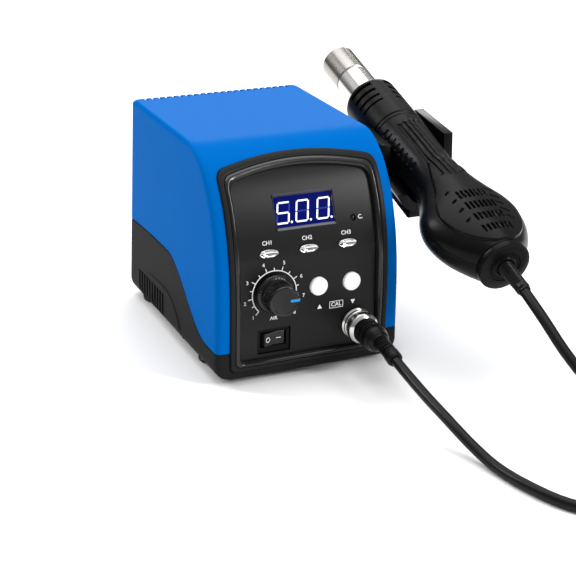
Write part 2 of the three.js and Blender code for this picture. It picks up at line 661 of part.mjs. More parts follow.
addPiece("holder_bracket", holderBracket(), blackPlastic);
holderScrewPlaces.forEach(({ y, z }, index) => {
  const profile = [[0, -10], [1.6, -9.4], [1.6, 0], [3.6, 0], [3.6, 1.2], [2.6, 2.1], [0, 2.1]];
  const screw = addPiece(`holder_screw_${index + 1}`, turned(profile, 10).rotateZ(-Math.PI / 2), zincSteel);
  screw.position.set(holderScrewSeat, y, z);
});

// ---------------------------------------------------------------- handpiece

// Half widths, top heights and bottom depths of the grip and blower bulb, at distances s from the sleeve.
const gripStations = [
  { s: 50, side: 16.2, top: 16.2, bottom: 16.2 },
  { s: 66, side: 15.6, top: 15.6, bottom: 15.6 },
  { s: 84, side: 14.9, top: 14.8, bottom: 15 },
  { s: 100, side: 17.2, top: 15, bottom: 16.4 },
  { s: 112, side: 22.4, top: 15.3, bottom: 18.6 },
  { s: 123, side: 28, top: 15.8, bottom: 20.6 },
  { s: 133, side: 29.6, top: 16, bottom: 21 },
  { s: 145, side: 27.2, top: 15.8, bottom: 20 },
  { s: 156, side: 21.4, top: 15.4, bottom: 17.4 },
  { s: 165, side: 14.6, top: 14.6, bottom: 14.6 },
];

function gripCurve(measure) {
  return new THREE.SplineCurve(gripStations.map((at) => new THREE.Vector2(at.s, at[measure])));
}
const gripCurves = { side: gripCurve("side"), top: gripCurve("top"), bottom: gripCurve("bottom") };

function gripForm(inset) {
  const rows = 18;
  const ring = (row) => {
    const { x: s, y: side } = gripCurves.side.getPoint(row / rows);
    const top = gripCurves.top.getPoint(row / rows).y;
    const bottom = gripCurves.bottom.getPoint(row / rows).y;
    return { s, side, top, bottom };
  };
  const rings = Array.from({ length: rows + 1 }, (_, row) => ring(row));
  const start = grip.start + inset;
  const end = grip.end - inset;
  const clampS = (s) => THREE.MathUtils.clamp(s, start, end);
  const profile = rings.map(({ s, side }) => [side - inset, -clampS(s)]);
  const geometry = turned([[0, -start], ...profile, [0, -end]], 20);
  const position = geometry.attributes.position;
  const nearer = (s) => (best, other) => (Math.abs(other.s - s) < Math.abs(best.s - s) ? other : best);
  const ringAt = (s) => rings.reduce(nearer(s));
  for (let index = 0; index < position.count; index++) {
    const { side, top, bottom } = ringAt(-position.getY(index));
    const height = position.getZ(index) > 0 ? top : bottom;
    position.setZ(index, (position.getZ(index) * (height - inset)) / (side - inset));
  }
  return geometry;
}

const handleScrewPlaces = [68, 96];
const reliefHole = rod(grip.reliefHole, -grip.end - 2, -grip.end + 5, 16);
const gripShell = cut(gripForm(0), gripForm(grip.wall), reliefHole);

function upperShell() {
  const half = cut(gripShell, box(-50, 50, -200, 0, -50, gap / 2));
  const bosses = handleScrewPlaces.map((s) => rodZ(3.4, 1, 13.4, 12).translate(0, -s, 0));
  const pilots = handleScrewPlaces.map((s) => rodZ(1.5, -1, 9, 12).translate(0, -s, 0));
  return cut(unite(half, ...bosses), ...pilots);
}

function lowerShell() {
  const half = cut(gripShell, box(-50, 50, -200, 0, -gap / 2, 50));
  return cut(half, ...handleScrewPlaces.map((s) => rodZ(2.9, -30, -2, 12).translate(0, -s, 0)));
}

function ventSleeve() {
  const { radius, bore, length, rows, rowPitch } = sleeve;
  const lip = heater.radius + 0.5;
  const profile = [
    [lip, 0], [radius - 1, 0], [radius, -1.2], [radius, -length], [bore, -length], [bore, -2.4], [lip, -2.4],
    [lip, 0],
  ];
  const slots = [];
  for (const middle of [-52, 38, 128, 218]) {
    for (let row = 0; row < rows; row++) {
      slots.push(ringSector(bore - 2, radius + 2, middle, 29, -7 - row * rowPitch, 2.4));
    }
  }
  return cut(turned(profile, 28), ...slots);
}

// A slot cutter: part of a ring about Y, with its middle at an angle from +X towards +Z.
function ringSector(inner, outer, middle, halfAngle, y, width) {
  const from = THREE.MathUtils.degToRad(middle - halfAngle);
  const to = THREE.MathUtils.degToRad(middle + halfAngle);
  const shape = new THREE.Shape();
  shape.absarc(0, 0, outer, from, to);
  shape.absarc(0, 0, inner, to, from, true);
  return prismY(shape, y - width, y, 3);
}

const tubeProfile = [
  [heater.bore, heater.reach], [heater.radius, heater.reach], [heater.radius, -heater.inside],
  [heater.bore, -heater.inside], [heater.bore, heater.reach],
];
addPiece("heater_tube", turned(tubeProfile, 28), polishedSteel, restFrame);
addPiece("heater_element", rod(7.2, -38, 36, 6), ceramic, restFrame);
addPiece("vent_sleeve", ventSleeve(), blackPlastic, restFrame);
addPiece("handle_upper_shell", upperShell(), blackPlastic, restFrame);
addPiece("handle_lower_shell", lowerShell(), blackPlastic, restFrame);

handleScrewPlaces.forEach((s, index) => {
  const profile = [[0, -13.6], [2.6, -13.6], [2.6, -11.6], [1.2, -11.4], [1.2, 8], [0, 8.4]];
  const upright = turned(profile, 8).rotateX(Math.PI / 2);
  const screw = addPiece(`handle_screw_${index + 1}`, upright, zincSteel, restFrame);
  screw.position.set(0, -s, 0);
});

const capProfile = [
  [endCap.hole, -endCap.end], [endCap.radius - 0.8, -endCap.end], [endCap.radius, 0.8 - endCap.end],
  [endCap.radius, -endCap.start], [endCap.hole, -endCap.start], [endCap.hole, -endCap.end],
];
addPiece("handle_end_cap", turned(capProfile, 24), blackPlastic, restFrame);

const reliefProfile = [
  [0, -189.6], [3.3, -189.6], [3.7, -188.8], [3.9, -endCap.start + 0.2], [4.2, -161.6], [0, -161.6],
];
addPiece("handle_strain_relief", turned(reliefProfile, 16), rubber, restFrame);

function blowerFrame() {
  const { radius, wall, floor, top, pinRadius } = blower;
  const cup = cut(rodZ(radius, floor, top, 24), rodZ(radius - wall, floor + 1.6, top + 1, 24));
  const outlet = box(-9, 9, 10, 30, floor + 3, top - 2);
  return unite(cut(cup, outlet), rodZ(pinRadius, floor + 1, floor + 12, 12));
}

function fanRotor() {
  const { floor, rotorRadius, pinRadius } = blower;
  const back = floor + 2.4;
  const hub = rodZ(6, back, back + 11.4, 16);
  const plate = rodZ(rotorRadius, back, back + 1.2, 22);
  const blades = Array.from({ length: 11 }, (_, index) =>
    box(5, rotorRadius - 0.4, -0.6, 0.6, back + 1, back + 12).rotateZ((2 * Math.PI * index) / 11),
  );
  return cut(unite(hub, plate, ...blades), rodZ(pinRadius + 0.35, back - 1, floor + 12.6, 12));
}

for (const [name, geometry, material] of [
  ["blower_frame", blowerFrame(), clearGrey],
  ["fan_rotor", fanRotor(), clearGrey],
]) {
  addPiece(name, geometry, material, restFrame).position.set(0, -blower.at, 0);
}

// ---------------------------------------------------------------- cable

// The cable's centre line in the station frame, from the plug to the coil and from the coil to the handpiece.
const floorLine = benchLevel + cable.radius + 0.1;
const frontRun = [
  [28.9, -46.4, 19.7], [29.4, -62, 16.4], [30, -79.3, 13], [31.5, -97.8, 9.2], [33, -110.4, 6],
  [35, -121.3, 2.9], [37.6, -136, 0.2], [42, -157, floorLine], [51, -179, floorLine],
  [67, -194.5, floorLine], [88, -198.5, floorLine], [106, -189, floorLine], [116, -171, floorLine],
  [119.6, -152, floorLine], [120.1, -138.4, floorLine],
];
const rearRun = [
  [134.8, -154.6, 7.2], [124, -153.6, 9.4], [112, -149.2, 14.4], [101, -139.6, 22.8], [93.4, -126, 33],
  [89.6, -110.5, 42.6], [88.3, -94.4, 51.8], [88, -83.2, 57], [88, -73.9, 60.75],
];

function cableTube(points) {
  const corners = points.map((point) => new THREE.Vector3(...point));
  const path = new THREE.CatmullRomCurve3(corners, false, "centripetal");
  return tubeAlong(path, cable.radius, cable.sides, Math.ceil(path.getLength() / (5 * cable.radius)));
}

// The coil's outer form: two turns side by side on the bench, and the last turns lying on them.
function coilRing() {
  const half = coil.turns * cable.radius;
  const [inner, outer] = [coil.meanRadius - half - cable.radius, coil.meanRadius + half + cable.radius];
  const height = 2 * coil.layers * cable.radius;
  const chamfer = 1.4;
  const profile = [
    [inner, 0], [outer, 0], [outer, height - chamfer], [outer - chamfer, height],
    [inner + chamfer, height], [inner, height - chamfer], [inner, 0],
  ];
  return { geometry: turned(profile, 32).rotateX(Math.PI / 2), inner, outer, height };
}

const ring = coilRing();
const tieMiddle = (ring.inner + ring.outer) / 2;
const tieSize = { width: ring.outer - ring.inner + 2 * gap, height: ring.height - 1 + gap };

// The tie is a flat strap round the whole bundle. It lies in a shallow groove under the coil.
function cableTie() {
  const { width, height } = tieSize;
  const outline = roundedRectangle(width + 2 * tie.band, height + 2 * tie.band, 1);
  const outer = prismY(outline, -tie.halfWidth, tie.halfWidth, 2);
  const inner = prismY(roundedRectangle(width, height, 0.6), -5, 5, 1);
  return cut(outer, inner).translate(tieMiddle, 0, tie.band + height / 2);
}

const tieTurn = THREE.MathUtils.degToRad(tie.angle);
const grooveHalf = tie.halfWidth + gap;
const tieGroove = box(ring.inner - 3, ring.outer + 3, -grooveHalf, grooveHalf, -1, tie.band + gap);
const coilPlace = new THREE.Group();
coilPlace.position.set(coil.x, coil.y, benchLevel);
station.add(coilPlace);
addPiece("cable_front_run", cableTube(frontRun), rubber);
addPiece("cable_rear_run", cableTube(rearRun), rubber);
addPiece("cable_coil", cut(ring.geometry, tieGroove.rotateZ(tieTurn)), rubber, coilPlace);
addPiece("cable_tie", cableTie().rotateZ(tieTurn), blackPlastic, coilPlace);

export default station;
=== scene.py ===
import json
from math import asin, atan2, cos, degrees, hypot, pi, radians, sin, sqrt, tan
from types import SimpleNamespace as Sizes

import bpy
from mathutils import Matrix, Vector


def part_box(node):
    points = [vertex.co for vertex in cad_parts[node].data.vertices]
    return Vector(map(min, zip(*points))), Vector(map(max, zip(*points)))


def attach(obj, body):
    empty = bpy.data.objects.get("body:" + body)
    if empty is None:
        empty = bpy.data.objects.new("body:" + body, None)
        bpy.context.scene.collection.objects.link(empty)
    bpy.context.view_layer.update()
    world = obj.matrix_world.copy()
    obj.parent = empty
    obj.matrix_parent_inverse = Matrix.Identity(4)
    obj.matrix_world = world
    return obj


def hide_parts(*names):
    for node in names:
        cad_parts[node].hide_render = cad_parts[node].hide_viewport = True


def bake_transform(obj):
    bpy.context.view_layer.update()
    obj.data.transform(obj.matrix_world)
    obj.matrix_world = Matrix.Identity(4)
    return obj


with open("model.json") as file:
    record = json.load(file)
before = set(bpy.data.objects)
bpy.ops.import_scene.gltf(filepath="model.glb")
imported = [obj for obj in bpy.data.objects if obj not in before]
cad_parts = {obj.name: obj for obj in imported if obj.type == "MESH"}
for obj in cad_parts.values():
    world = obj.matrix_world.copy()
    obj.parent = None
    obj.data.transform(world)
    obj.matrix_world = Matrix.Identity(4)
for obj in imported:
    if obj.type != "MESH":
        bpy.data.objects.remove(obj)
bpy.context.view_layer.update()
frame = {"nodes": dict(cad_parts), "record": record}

# Hot air rework station. Sizes are millimetres in the station frame: x to the right as seen from the
# front, y towards the back, z up from the underside of the tray. The CAD tray says where that frame is.
# The handpiece has a frame of its own, with +y along it towards the air outlet, so a distance s from
# the front of its vented sleeve is at y = -s.

MM = 0.001
TRAY_LOW, TRAY_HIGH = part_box("base_tray")
STATION = Matrix.Translation(((TRAY_LOW.x + TRAY_HIGH.x) / 2, TRAY_LOW.y, TRAY_LOW.z)) @ Matrix.Scale(MM, 4)

# ---- driving dimensions

GAP = 0.3
SHARP_ANGLE = radians(32)
BEVEL_ANGLE = radians(38)

HALF_WIDTH = 55
DEPTH = 147.5
HEIGHT = 122.4
WALL = 2.5
SIDE_DRAFT = 1.85
BACK_LEAN = 5.8
BOTTOM_RADIUS = 9
FRONT_EDGE_RADIUS = 2.5
TOP_RADIUS = 2.5
UPRIGHT_RADIUS = 3.5
FRONT_REACH = 50
FRONT_RISE = 82.4
FRONT_POWER = 2.2
FOOT_HEIGHT = 3

SEAM = Sizes(front_height=16.3, rise=33, rise_start=16, rise_end=78, fall_start=95, fall=2.2)
COVER_VENT = Sizes(count=22, pitch=4.28, width=2, front_y=135.5, bottom=100)
TRAY_VENT = Sizes(count=10, pitch=4.6, width=2.9, first_y=86, bottom=1.5, top=20)
FOOT = Sizes(x=43, y=(36.5, 131.5), radius=8)
SEAM_CHAMFER = 0.4

BEZEL = Sizes(half_width=47, bottom=5.2, arch_end=42, arch_end_height=113.3, arch_pull=121.5)
BEZEL_CORNER = 3
BEZEL_BOTTOM_SHARE = 0.74
RING_WIDTH = 6.2
PANEL_INSET = 1.6
PANEL_THICKNESS = 2

DISPLAY = Sizes(z=90.4, width=35.6, height=20, glass_width=33.4, glass_height=16.6, depth=1.5)
DIGIT = Sizes(x=(-12.1, -0.9, 11.5), z=-0.5, half_width=3.4, half_height=5.5, stroke=0.9, slant=10)
CHANNEL = Sizes(z=69.9, pitch=23.3, half_length=5.6, half_height=2.35)
ROUND_BUTTON = Sizes(z=47.3, x=(5.9, 25.9), radius=5.15, proud=0.6)
KNOB = Sizes(x=-20.6, z=47.2, skirt=11, face=8.6, height=14.4, flutes=40)
DIAL = Sizes(radius=12.9, major=15.4, minor=14.6, numerals=17.6, start=225.5, step=38.9, steps=5.85)
NUMERAL_ANGLES = (225.5, 192, 153, 110, 70, 26, -12, -46.8)
SWITCH = Sizes(x=-20.5, z=19.6, width=19.6, height=14.4, sunk=1.2, lift=0.7)
ROCKER_RADIUS = 7.15
ROCKER_TILT = radians(19.7)
SOCKET = Sizes(x=29.5, z=22, flange=9.4, barrel=7.2)
LED = Sizes(x=28, z=82.9, radius=1.45)
CAL_MIDDLE = (16.6, 35.2)
TEXT_WEIGHT = 0.035
INLET = Sizes(x=-24, z=24, width=27.4, height=20.2)

REST = Vector((88, 107.7, 116.6))
REST_TILT = radians(17)
SLEEVE = Sizes(radius=16.6, bore=14.2, length=40.7)
SLEEVE_ROWS = [(5, 2.6), (11.1, 2.4), (17, 2), (22.2, 1.6)]
SLOT_MIDDLES = (134.5, 50, -40, -130)
SLOT_HALF_ANGLE = 27.5
TUBE = Sizes(radius=10.9, bore=9.9, reach=47, inside=42, tip_from=24)
GRIP_START, GRIP_END, GRIP_WALL = 41, 164.4, 2.3
# Along the grip: distance from the front of the sleeve, half width, top height, bottom depth.
GRIP = [
    (41, 16.3, 16.3, 16.3), (50, 16.2, 16.2, 16.2), (66, 15.6, 15.6, 15.6), (84, 14.9, 14.8, 15),
    (100, 17.2, 15, 16.4), (112, 22.4, 15.3, 18.6), (123, 28, 15.8, 20.6), (133, 29.6, 16, 21),
    (145, 27.2, 15.8, 20), (156, 21.4, 15.4, 17.4), (165, 14.6, 14.6, 14.6),
]
# Half width of the raised plate on top of the grip's bulb, along the grip.
PLATE = [
    (84, 7.2), (91, 9), (101, 12), (112.4, 15.8), (123, 21), (134, 23.6), (145.5, 21.3), (152.7, 17.3),
    (159.4, 11.2), (163, 6),
]
PLATE_RISE = 1.2
CRADLE = Sizes(bore=17.2, outer=23, start=24, prong_end=62, end=86, top=12.5, trough=-8)
LEFT_PRONG_DROP = 3.5
KEEL = Sizes(half_width=12, bottom=-26, top=-19, start=38)
BRACKET = Sizes(x=(54.4, 58.4), y=62.5, z=86, width=38, height=46, arm_y=61, arm_z=101)

CABLE_RADIUS = 2.9
FLOOR_LINE = CABLE_RADIUS - FOOT_HEIGHT + 0.1
COIL_MIDDLE = Vector((158, -116))
COIL_OUTER = 37.8
COIL_INNER = 26.2
BOOT_END = -26
RELIEF_END = Vector((28.9, -46.7, 19.65))

CAMERA = Sizes(place=(-315.9, -665.5, 350.0), azimuth=-24.44, elevation=22.32, roll=1.12, lens=91.83)

HORIZON = (0.12, 0.12, 0.12)
ZENITH = (0.6, 0.6, 0.6)
# The part of a noise texture's range that most of its values are in.
NOISE_RANGE = (0.1, 0.9)
# The depth of the surfaces' grain, in metres.
BUMP_HEIGHT = 0.0002

IN_REST = STATION @ Matrix.Translation(REST) @ Matrix.Rotation(REST_TILT, 4, "X")
HANDPIECE = {"body": "handpiece", "place": IN_REST}


# ---- skins: points and faces

def loft(rings, closed=False):
    """A skin over rings that all have the same number of points. Closed joins the last ring to the first."""
    count = len(rings[0])
    points = [point for ring in rings for point in ring]
    faces = []
    for row in range(len(rings) - (0 if closed else 1)):
        low, high = row * count, (row + 1) % len(rings) * count
        for column in range(count):
            after = (column + 1) % count
            faces.append((low + column, low + after, high + after, high + column))
    if not closed:
        faces.append(tuple(reversed(range(count))))
        faces.append(tuple(range(len(points) - count, len(points))))
    return points, faces


def together(*skins):
    points, faces = [], []
    for more_points, more_faces in skins:
        start = len(points)
        points += more_points
        faces += [tuple(start + index for index in face) for face in more_faces]
    return points, faces


def moved(skin, matrix):
    return [matrix @ Vector(point) for point in skin[0]], skin[1]


def shift(skin, x=0, y=0, z=0):
    return moved(skin, Matrix.Translation((x, y, z)))


def block(x0, x1, y0, y1, z0, z1):
    return prism_z([(x0, y0), (x1, y0), (x1, y1), (x0, y1)], z0, z1)


def loft_y(sections, closed=False):
    """A skin over outlines in x and z, each at its own y."""
    return loft([[(x, y, z) for x, z in outline] for outline, y in sections], closed)


def prism_y(outline, y0, y1):
    """A prism along y of an outline in x and z that runs anticlockwise as seen from the front."""
    return loft_y([(outline, y1), (outline, y0)])


def prism_x(outline, x0, x1):
    """A prism along x of an outline in y and z that runs anticlockwise as seen from the right."""
    return loft([[(x, y, z) for y, z in outline] for x in (x0, x1)])


def prism_z(outline, z0, z1):
    """A prism along z of an outline in x and y that runs anticlockwise as seen from above."""
    return loft([[(x, y, z) for x, y in outline] for z in (z0, z1)])


def turned(profile, segments=72, wobble=None, closed=False):
    """A turned skin about the y axis. The pairs of radius and y go round the solid's section from the
    inside or the axis at the back, over the back, along the outside to the front, and back in. Closed
    joins the last pair to the first, as in a tube."""
    angles = [2 * pi * step / segments for step in range(segments)]
    rings = []
    for radius, y in profile:
        sizes = [radius + (wobble(angle, radius, y) if wobble else 0) for angle in angles]
        rings.append([(size * cos(a), y, size * sin(a)) for a, size in zip(angles, sizes)])
    return loft(rings, closed)


def arc(x, z, radius, start, end, steps, radius_z=None):
    """Points along an arc in a plane, angles in degrees."""
    angles = [radians(start + (end - start) * step / steps) for step in range(steps + 1)]
    return [(x + radius * cos(a), z + (radius_z or radius) * sin(a)) for a in angles]


def ellipse(half_width, half_height, steps=48):
    return arc(0, 0, half_width, 0, 360 * (steps - 1) / steps, steps - 1, half_height)


def rounded_rectangle(width, height, radius, steps=6):
    x, z = width / 2 - radius, height / 2 - radius
    corners = [((x, -z), -90), ((x, z), 0), ((-x, z), 90), ((-x, -z), 180)]
    return [point for centre, start in corners for point in arc(*centre, radius, start, start + 90, steps)]


def bezier2(start, pull, end, steps):
    """Points of a quadratic curve, without its last point."""
    ts = [step / steps for step in range(steps)]
    return [
        tuple((1 - t) ** 2 * a + 2 * t * (1 - t) * b + t * t * c for a, b, c in zip(start, pull, end))
        for t in ts
    ]


def between(start, end, steps):
    return [start + (end - start) * step / steps for step in range(steps + 1)]


def smoothstep(value, low, high):
    t = min(max((value - low) / (high - low), 0), 1)
    return t * t * (3 - 2 * t)


def through(table, at, column=1):
    """A smooth curve through the rows of a table, at a value of its first column."""
    last = len(table) - 2
    row = next((index for index in range(last) if at < table[index + 1][0]), last)

    def slope(index):
        before, after = table[max(index - 1, 0)], table[min(index + 1, len(table) - 1)]
        return (after[column] - before[column]) / (after[0] - before[0])

    start, end = table[row], table[row + 1]
    span = end[0] - start[0]
    t = min(max((at - start[0]) / span, 0), 1)
    return (
        (2 * t**3 - 3 * t**2 + 1) * start[column]
        + (t**3 - 2 * t**2 + t) * span * slope(row)
        + (3 * t**2 - 2 * t**3) * end[column]
        + (t**3 - t**2) * span * slope(row + 1)
    )


def smooth_line(points, spacing):
    """A centripetal Catmull-Rom line through the points, with a point about every spacing."""
    points = [Vector(point) for point in points]
    ends = [2 * points[0] - points[1], *points, 2 * points[-1] - points[-2]]
    line = []
    for corners in zip(ends, ends[1:], ends[2:], ends[3:]):
        knots = [0]
        for a, b in zip(corners, corners[1:]):
            knots.append(knots[-1] + sqrt((b - a).length))
        steps = max(1, round((corners[2] - corners[1]).length / spacing))
        for step in range(steps):
            line.append(catmull_point(corners, knots, knots[1] + (knots[2] - knots[1]) * step / steps))
    return [*line, points[-1]]


def catmull_point(corners, knots, t):
    """A point of the Catmull-Rom segment between the two middle corners."""
    def mix(a, b, low, high):
        share = (t - knots[low]) / (knots[high] - knots[low])
        return a * (1 - share) + b * share

    first = [mix(corners[index], corners[index + 1], index, index + 1) for index in range(3)]
    second = [mix(first[index], first[index + 1], index, index + 2) for index in range(2)]
    return mix(second[0], second[1], 1, 2)


def tube(line, radius, sides):
    """A skin round a line. The radius is a number, or a function of the share of the way along."""
    line = [Vector(point) for point in line]
    rings = []
    across = None
    for index, point in enumerate(line):
        ahead = (line[min(index + 1, len(line) - 1)] - line[max(index - 1, 0)]).normalized()
        across = ahead.orthogonal() if across is None else across
        across = (across - across.project(ahead)).normalized()
        other = ahead.cross(across)
        size = radius(index / (len(line) - 1)) if callable(radius) else radius
        angles = [2 * pi * side / sides for side in range(sides)]
        rings.append([point + size * (cos(a) * across + sin(a) * other) for a in angles])
    return loft(rings)


# ---- pieces

def add_object(name, data):
    thing = bpy.data.objects.new(name, data)
    bpy.context.scene.collection.objects.link(thing)
    return thing


def mesh_of(name, skin, place):
    mesh = bpy.data.meshes.new(name)
    mesh.from_pydata([place @ Vector(point) for point in skin[0]], [], skin[1])
    mesh.update()
    return mesh


def paint(thing, material):
    thing.data.materials.clear()
    thing.data.materials.append(MATERIALS[material])


def add_piece(name, skin, material, *nodes, body="station", place=STATION, cuts=(), keep=None, bevel=0):
    """A piece from a skin in the frame that place describes. Cuts are taken away from it, and only what is
    inside keep stays. It rides on the body and stands for the CAD nodes that are named."""
    piece = add_object(name, mesh_of(name, skin, place))
    if keep:
        carve(piece, keep, place, "INTERSECT")
    if cuts:
        carve(piece, together(*cuts), place, "DIFFERENCE")
    if bevel:
        round_edges(piece, bevel)
    paint(piece, material)
    piece.data.shade_smooth()
    piece.data.set_sharp_from_angle(angle=SHARP_ANGLE)
    if nodes:
        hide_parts(*nodes)
    if body:
        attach(piece, body)
    return piece


def settle(piece):
    """Makes the piece's modifiers part of its mesh."""
    bpy.context.view_layer.update()
    result = bpy.data.meshes.new_from_object(piece.evaluated_get(bpy.context.evaluated_depsgraph_get()))
    piece.modifiers.clear()
    old = piece.data
    piece.data = result
    bpy.data.meshes.remove(old)


def carve(piece, skin, place, operation):
    cutter = add_object("cutter", mesh_of("cutter", skin, place))
    modifier = piece.modifiers.new("carve", "BOOLEAN")
    modifier.operation = operation
    modifier.solver = "EXACT"
    modifier.object = cutter
    settle(piece)
    bpy.data.meshes.remove(cutter.data)


def round_edges(piece, width):
    modifier = piece.modifiers.new("round_edges", "BEVEL")
    modifier.width = width * MM
    modifier.segments = 3
    modifier.limit_method = "ANGLE"
    modifier.angle_limit = BEVEL_ANGLE
    modifier.harden_normals = False
    settle(piece)


# ---- materials

def grey(level):
    return (level, level, level)


def scaled(color, share):
    return tuple(min(channel * share, 1) for channel in color)


def add_node(owner, kind, **inputs):
    """A node of a material or a world. Each input is a value, or the socket that it comes from."""
    node = owner.node_tree.nodes.new(kind)
    for name, value in inputs.items():
        socket = node.inputs[name.replace("_", " ")]
        if isinstance(value, bpy.types.NodeSocket):
            link(value, socket)
        else:
            socket.default_value = value
    return node


def link(value, socket):
    socket.id_data.links.new(value, socket)


def add_ramp(owner, value, low, high, ends=NOISE_RANGE):
    """The colour that goes from one to another as the value goes between the ends."""
    ramp = add_node(owner, "ShaderNodeValToRGB", Fac=value)
    for stop, at, color in zip(ramp.color_ramp.elements, ends, (low, high)):
        stop.position = at
        stop.color = (*color, 1)
    return ramp.outputs["Color"]


def principled(color, roughness, metallic=0.0):
    material = bpy.data.materials.new("finish")
    material.use_nodes = True
    shader = material.node_tree.nodes["Principled BSDF"]
    shader.inputs["Base Color"].default_value = (*color, 1)
    shader.inputs["Roughness"].default_value = roughness
    shader.inputs["Metallic"].default_value = metallic
    return material, shader


def noise(material, scale, detail):
    """A noise texture that lies still on the piece."""
    place = add_node(material, "ShaderNodeTexCoord").outputs["Object"]
    scale = scale if isinstance(scale, tuple) else (scale, scale, scale)
    stretched = add_node(material, "ShaderNodeMapping", Vector=place, Scale=scale).outputs["Vector"]
    return add_node(material, "ShaderNodeTexNoise", Vector=stretched, Scale=1, Detail=detail).outputs["Fac"]


def roughen(material, shader, height, strength):
    bump = add_node(material, "ShaderNodeBump", Height=height, Strength=strength, Distance=BUMP_HEIGHT)
    link(bump.outputs["Normal"], shader.inputs["Normal"])


def spread(material, value, low, high, socket):
    """Drives a number of the shader between two values."""
    start, end = NOISE_RANGE
    gloss = add_node(
        material, "ShaderNodeMapRange", Value=value, From_Min=start, From_Max=end, To_Min=low, To_Max=high,
    )
    link(gloss.outputs["Result"], socket)


def tint(material, value, low, high, socket):
    """Drives a colour of the shader between two colours."""
    link(add_ramp(material, value, low, high), socket)


def plastic(color, roughness, grain=0.02, grain_scale=3000, mottle=0.08, specular=0.25):
    """Moulded plastic: a fine grain in the surface, and slightly uneven colour and gloss."""
    material, shader = principled(color, roughness)
    shader.inputs["Specular IOR Level"].default_value = specular
    roughen(material, shader, noise(material, grain_scale, 2), grain)
    broad = noise(material, 40, 3)
    tint(material, broad, scaled(color, 1 - mottle), scaled(color, 1 + mottle), shader.inputs["Base Color"])
    spread(material, broad, roughness - 0.02, roughness + 0.02, shader.inputs["Roughness"])
    return material


def metal(color, roughness, scratch=0.03, scratch_scale=(900, 900, 60), dirt=0.12):
    """Metal with fine lines along one direction and slightly uneven colour and gloss."""
    material, shader = principled(color, roughness, 1.0)
    lines = noise(material, scratch_scale, 3)
    roughen(material, shader, lines, scratch)
    spread(material, lines, roughness * 0.8, roughness * 1.25, shader.inputs["Roughness"])
    tint(material, noise(material, 90, 4), scaled(color, 1 - dirt), color, shader.inputs["Base Color"])
    return material


def glowing(color, strength):
    """Light from behind the display's filter, a little uneven."""
    material, shader = principled(scaled(color, 0.3), 0.25)
    dim, bright = scaled(color, 0.8), scaled(color, 1.2)
    tint(material, noise(material, 260, 2), dim, bright, shader.inputs["Emission Color"])
    shader.inputs["Emission Strength"].default_value = strength
    shader.inputs["Specular IOR Level"].default_value = 0.03
    return material


MATERIALS = {
    "cover_blue": plastic((0.0, 0.110, 0.41), 0.3, mottle=0.015, specular=0.0025),
    "tray_black": plastic(grey(0.015), 0.5, grain=0.15, grain_scale=1800, specular=0.02),
    "bead_black": plastic(grey(0.012), 0.16, specular=0.36),
    "bezel_black": plastic(grey(0.016), 0.32, specular=0.06),
    "panel_grey": plastic(grey(0.004), 0.36, grain=0.06, specular=0.22),
    "display_frame": plastic((0.008, 0.009, 0.03), 0.25, specular=0.7),
    "black_plastic": plastic(grey(0.003), 0.28, grain=0.08, specular=0.09),
    "knob_black": plastic(grey(0.007), 0.2, specular=0.35),
    "soft_rubber": plastic(grey(0.006), 0.3, grain=0.05, specular=0.13),
    "display_filter": glowing((0.0005, 0.003, 0.1), 1.0),
    "display_dim": glowing((0.02, 0.035, 0.24), 1.0),
    "display_lit": glowing((1.0, 1.0, 1.0), 1.3),
    "white_ink": plastic((0.78, 0.78, 0.77), 0.6),
    "white_plastic": plastic((0.96, 0.96, 0.95), 0.4, grain=0.2, grain_scale=2500),
    "silver_plastic": metal((0.74, 0.74, 0.75), 0.08),
    "pointer_blue": plastic((0.01, 0.26, 0.62), 0.4),
    "bright_nickel": metal((0.66, 0.65, 0.64), 0.2),
    "polished_steel": metal((0.75, 0.73, 0.71), 0.16),
    "burnt_steel": metal((0.36, 0.34, 0.32), 0.22),
    "zinc_steel": metal((0.55, 0.55, 0.56), 0.35),
    "ceramic": plastic((0.78, 0.72, 0.62), 0.7),
    "board": plastic((0.01, 0.10, 0.035), 0.45),
    "copper": metal((0.55, 0.16, 0.06), 0.35),
    "brass": metal((0.72, 0.50, 0.18), 0.3),
    "aluminium": metal((0.62, 0.63, 0.64), 0.4),
    "dark_lens": plastic((0.004, 0.003, 0.003), 0.2),
    "grey_plastic": plastic((0.05, 0.05, 0.055), 0.5),
}
for title, finish in MATERIALS.items():
    finish.name = title


# ---- camera, stage and light

def add_camera():
    azimuth, elevation, roll = (radians(angle) for angle in (CAMERA.azimuth, CAMERA.elevation, CAMERA.roll))
    level = Vector((cos(azimuth), sin(azimuth), 0))
    ahead = Vector((sin(azimuth), -cos(azimuth), 0))
    back = cos(elevation) * ahead + Vector((0, 0, sin(elevation)))
    upright = back.cross(level)
    right = cos(roll) * level + sin(roll) * upright
    up = cos(roll) * upright - sin(roll) * level
    turn = Matrix((right, up, back)).transposed().to_4x4()
    camera = add_object("camera", bpy.data.cameras.new("camera"))
    camera.data.lens = CAMERA.lens
    camera.data.sensor_width = 36
    camera.matrix_world = Matrix.Translation(STATION @ Vector(CAMERA.place)) @ turn
    bpy.context.scene.camera = camera


def add_floor():
    reach = 6.0
    corners = [(-reach, -reach, 0), (reach, -reach, 0), (reach, reach, 0), (-reach, reach, 0)]
    floor = add_object("floor", mesh_of("floor", (corners, [(0, 1, 2, 3)]), Matrix()))
    white = principled(grey(0.93), 0.9)[0]
    white.name = "floor_white"
    floor.data.materials.append(white)


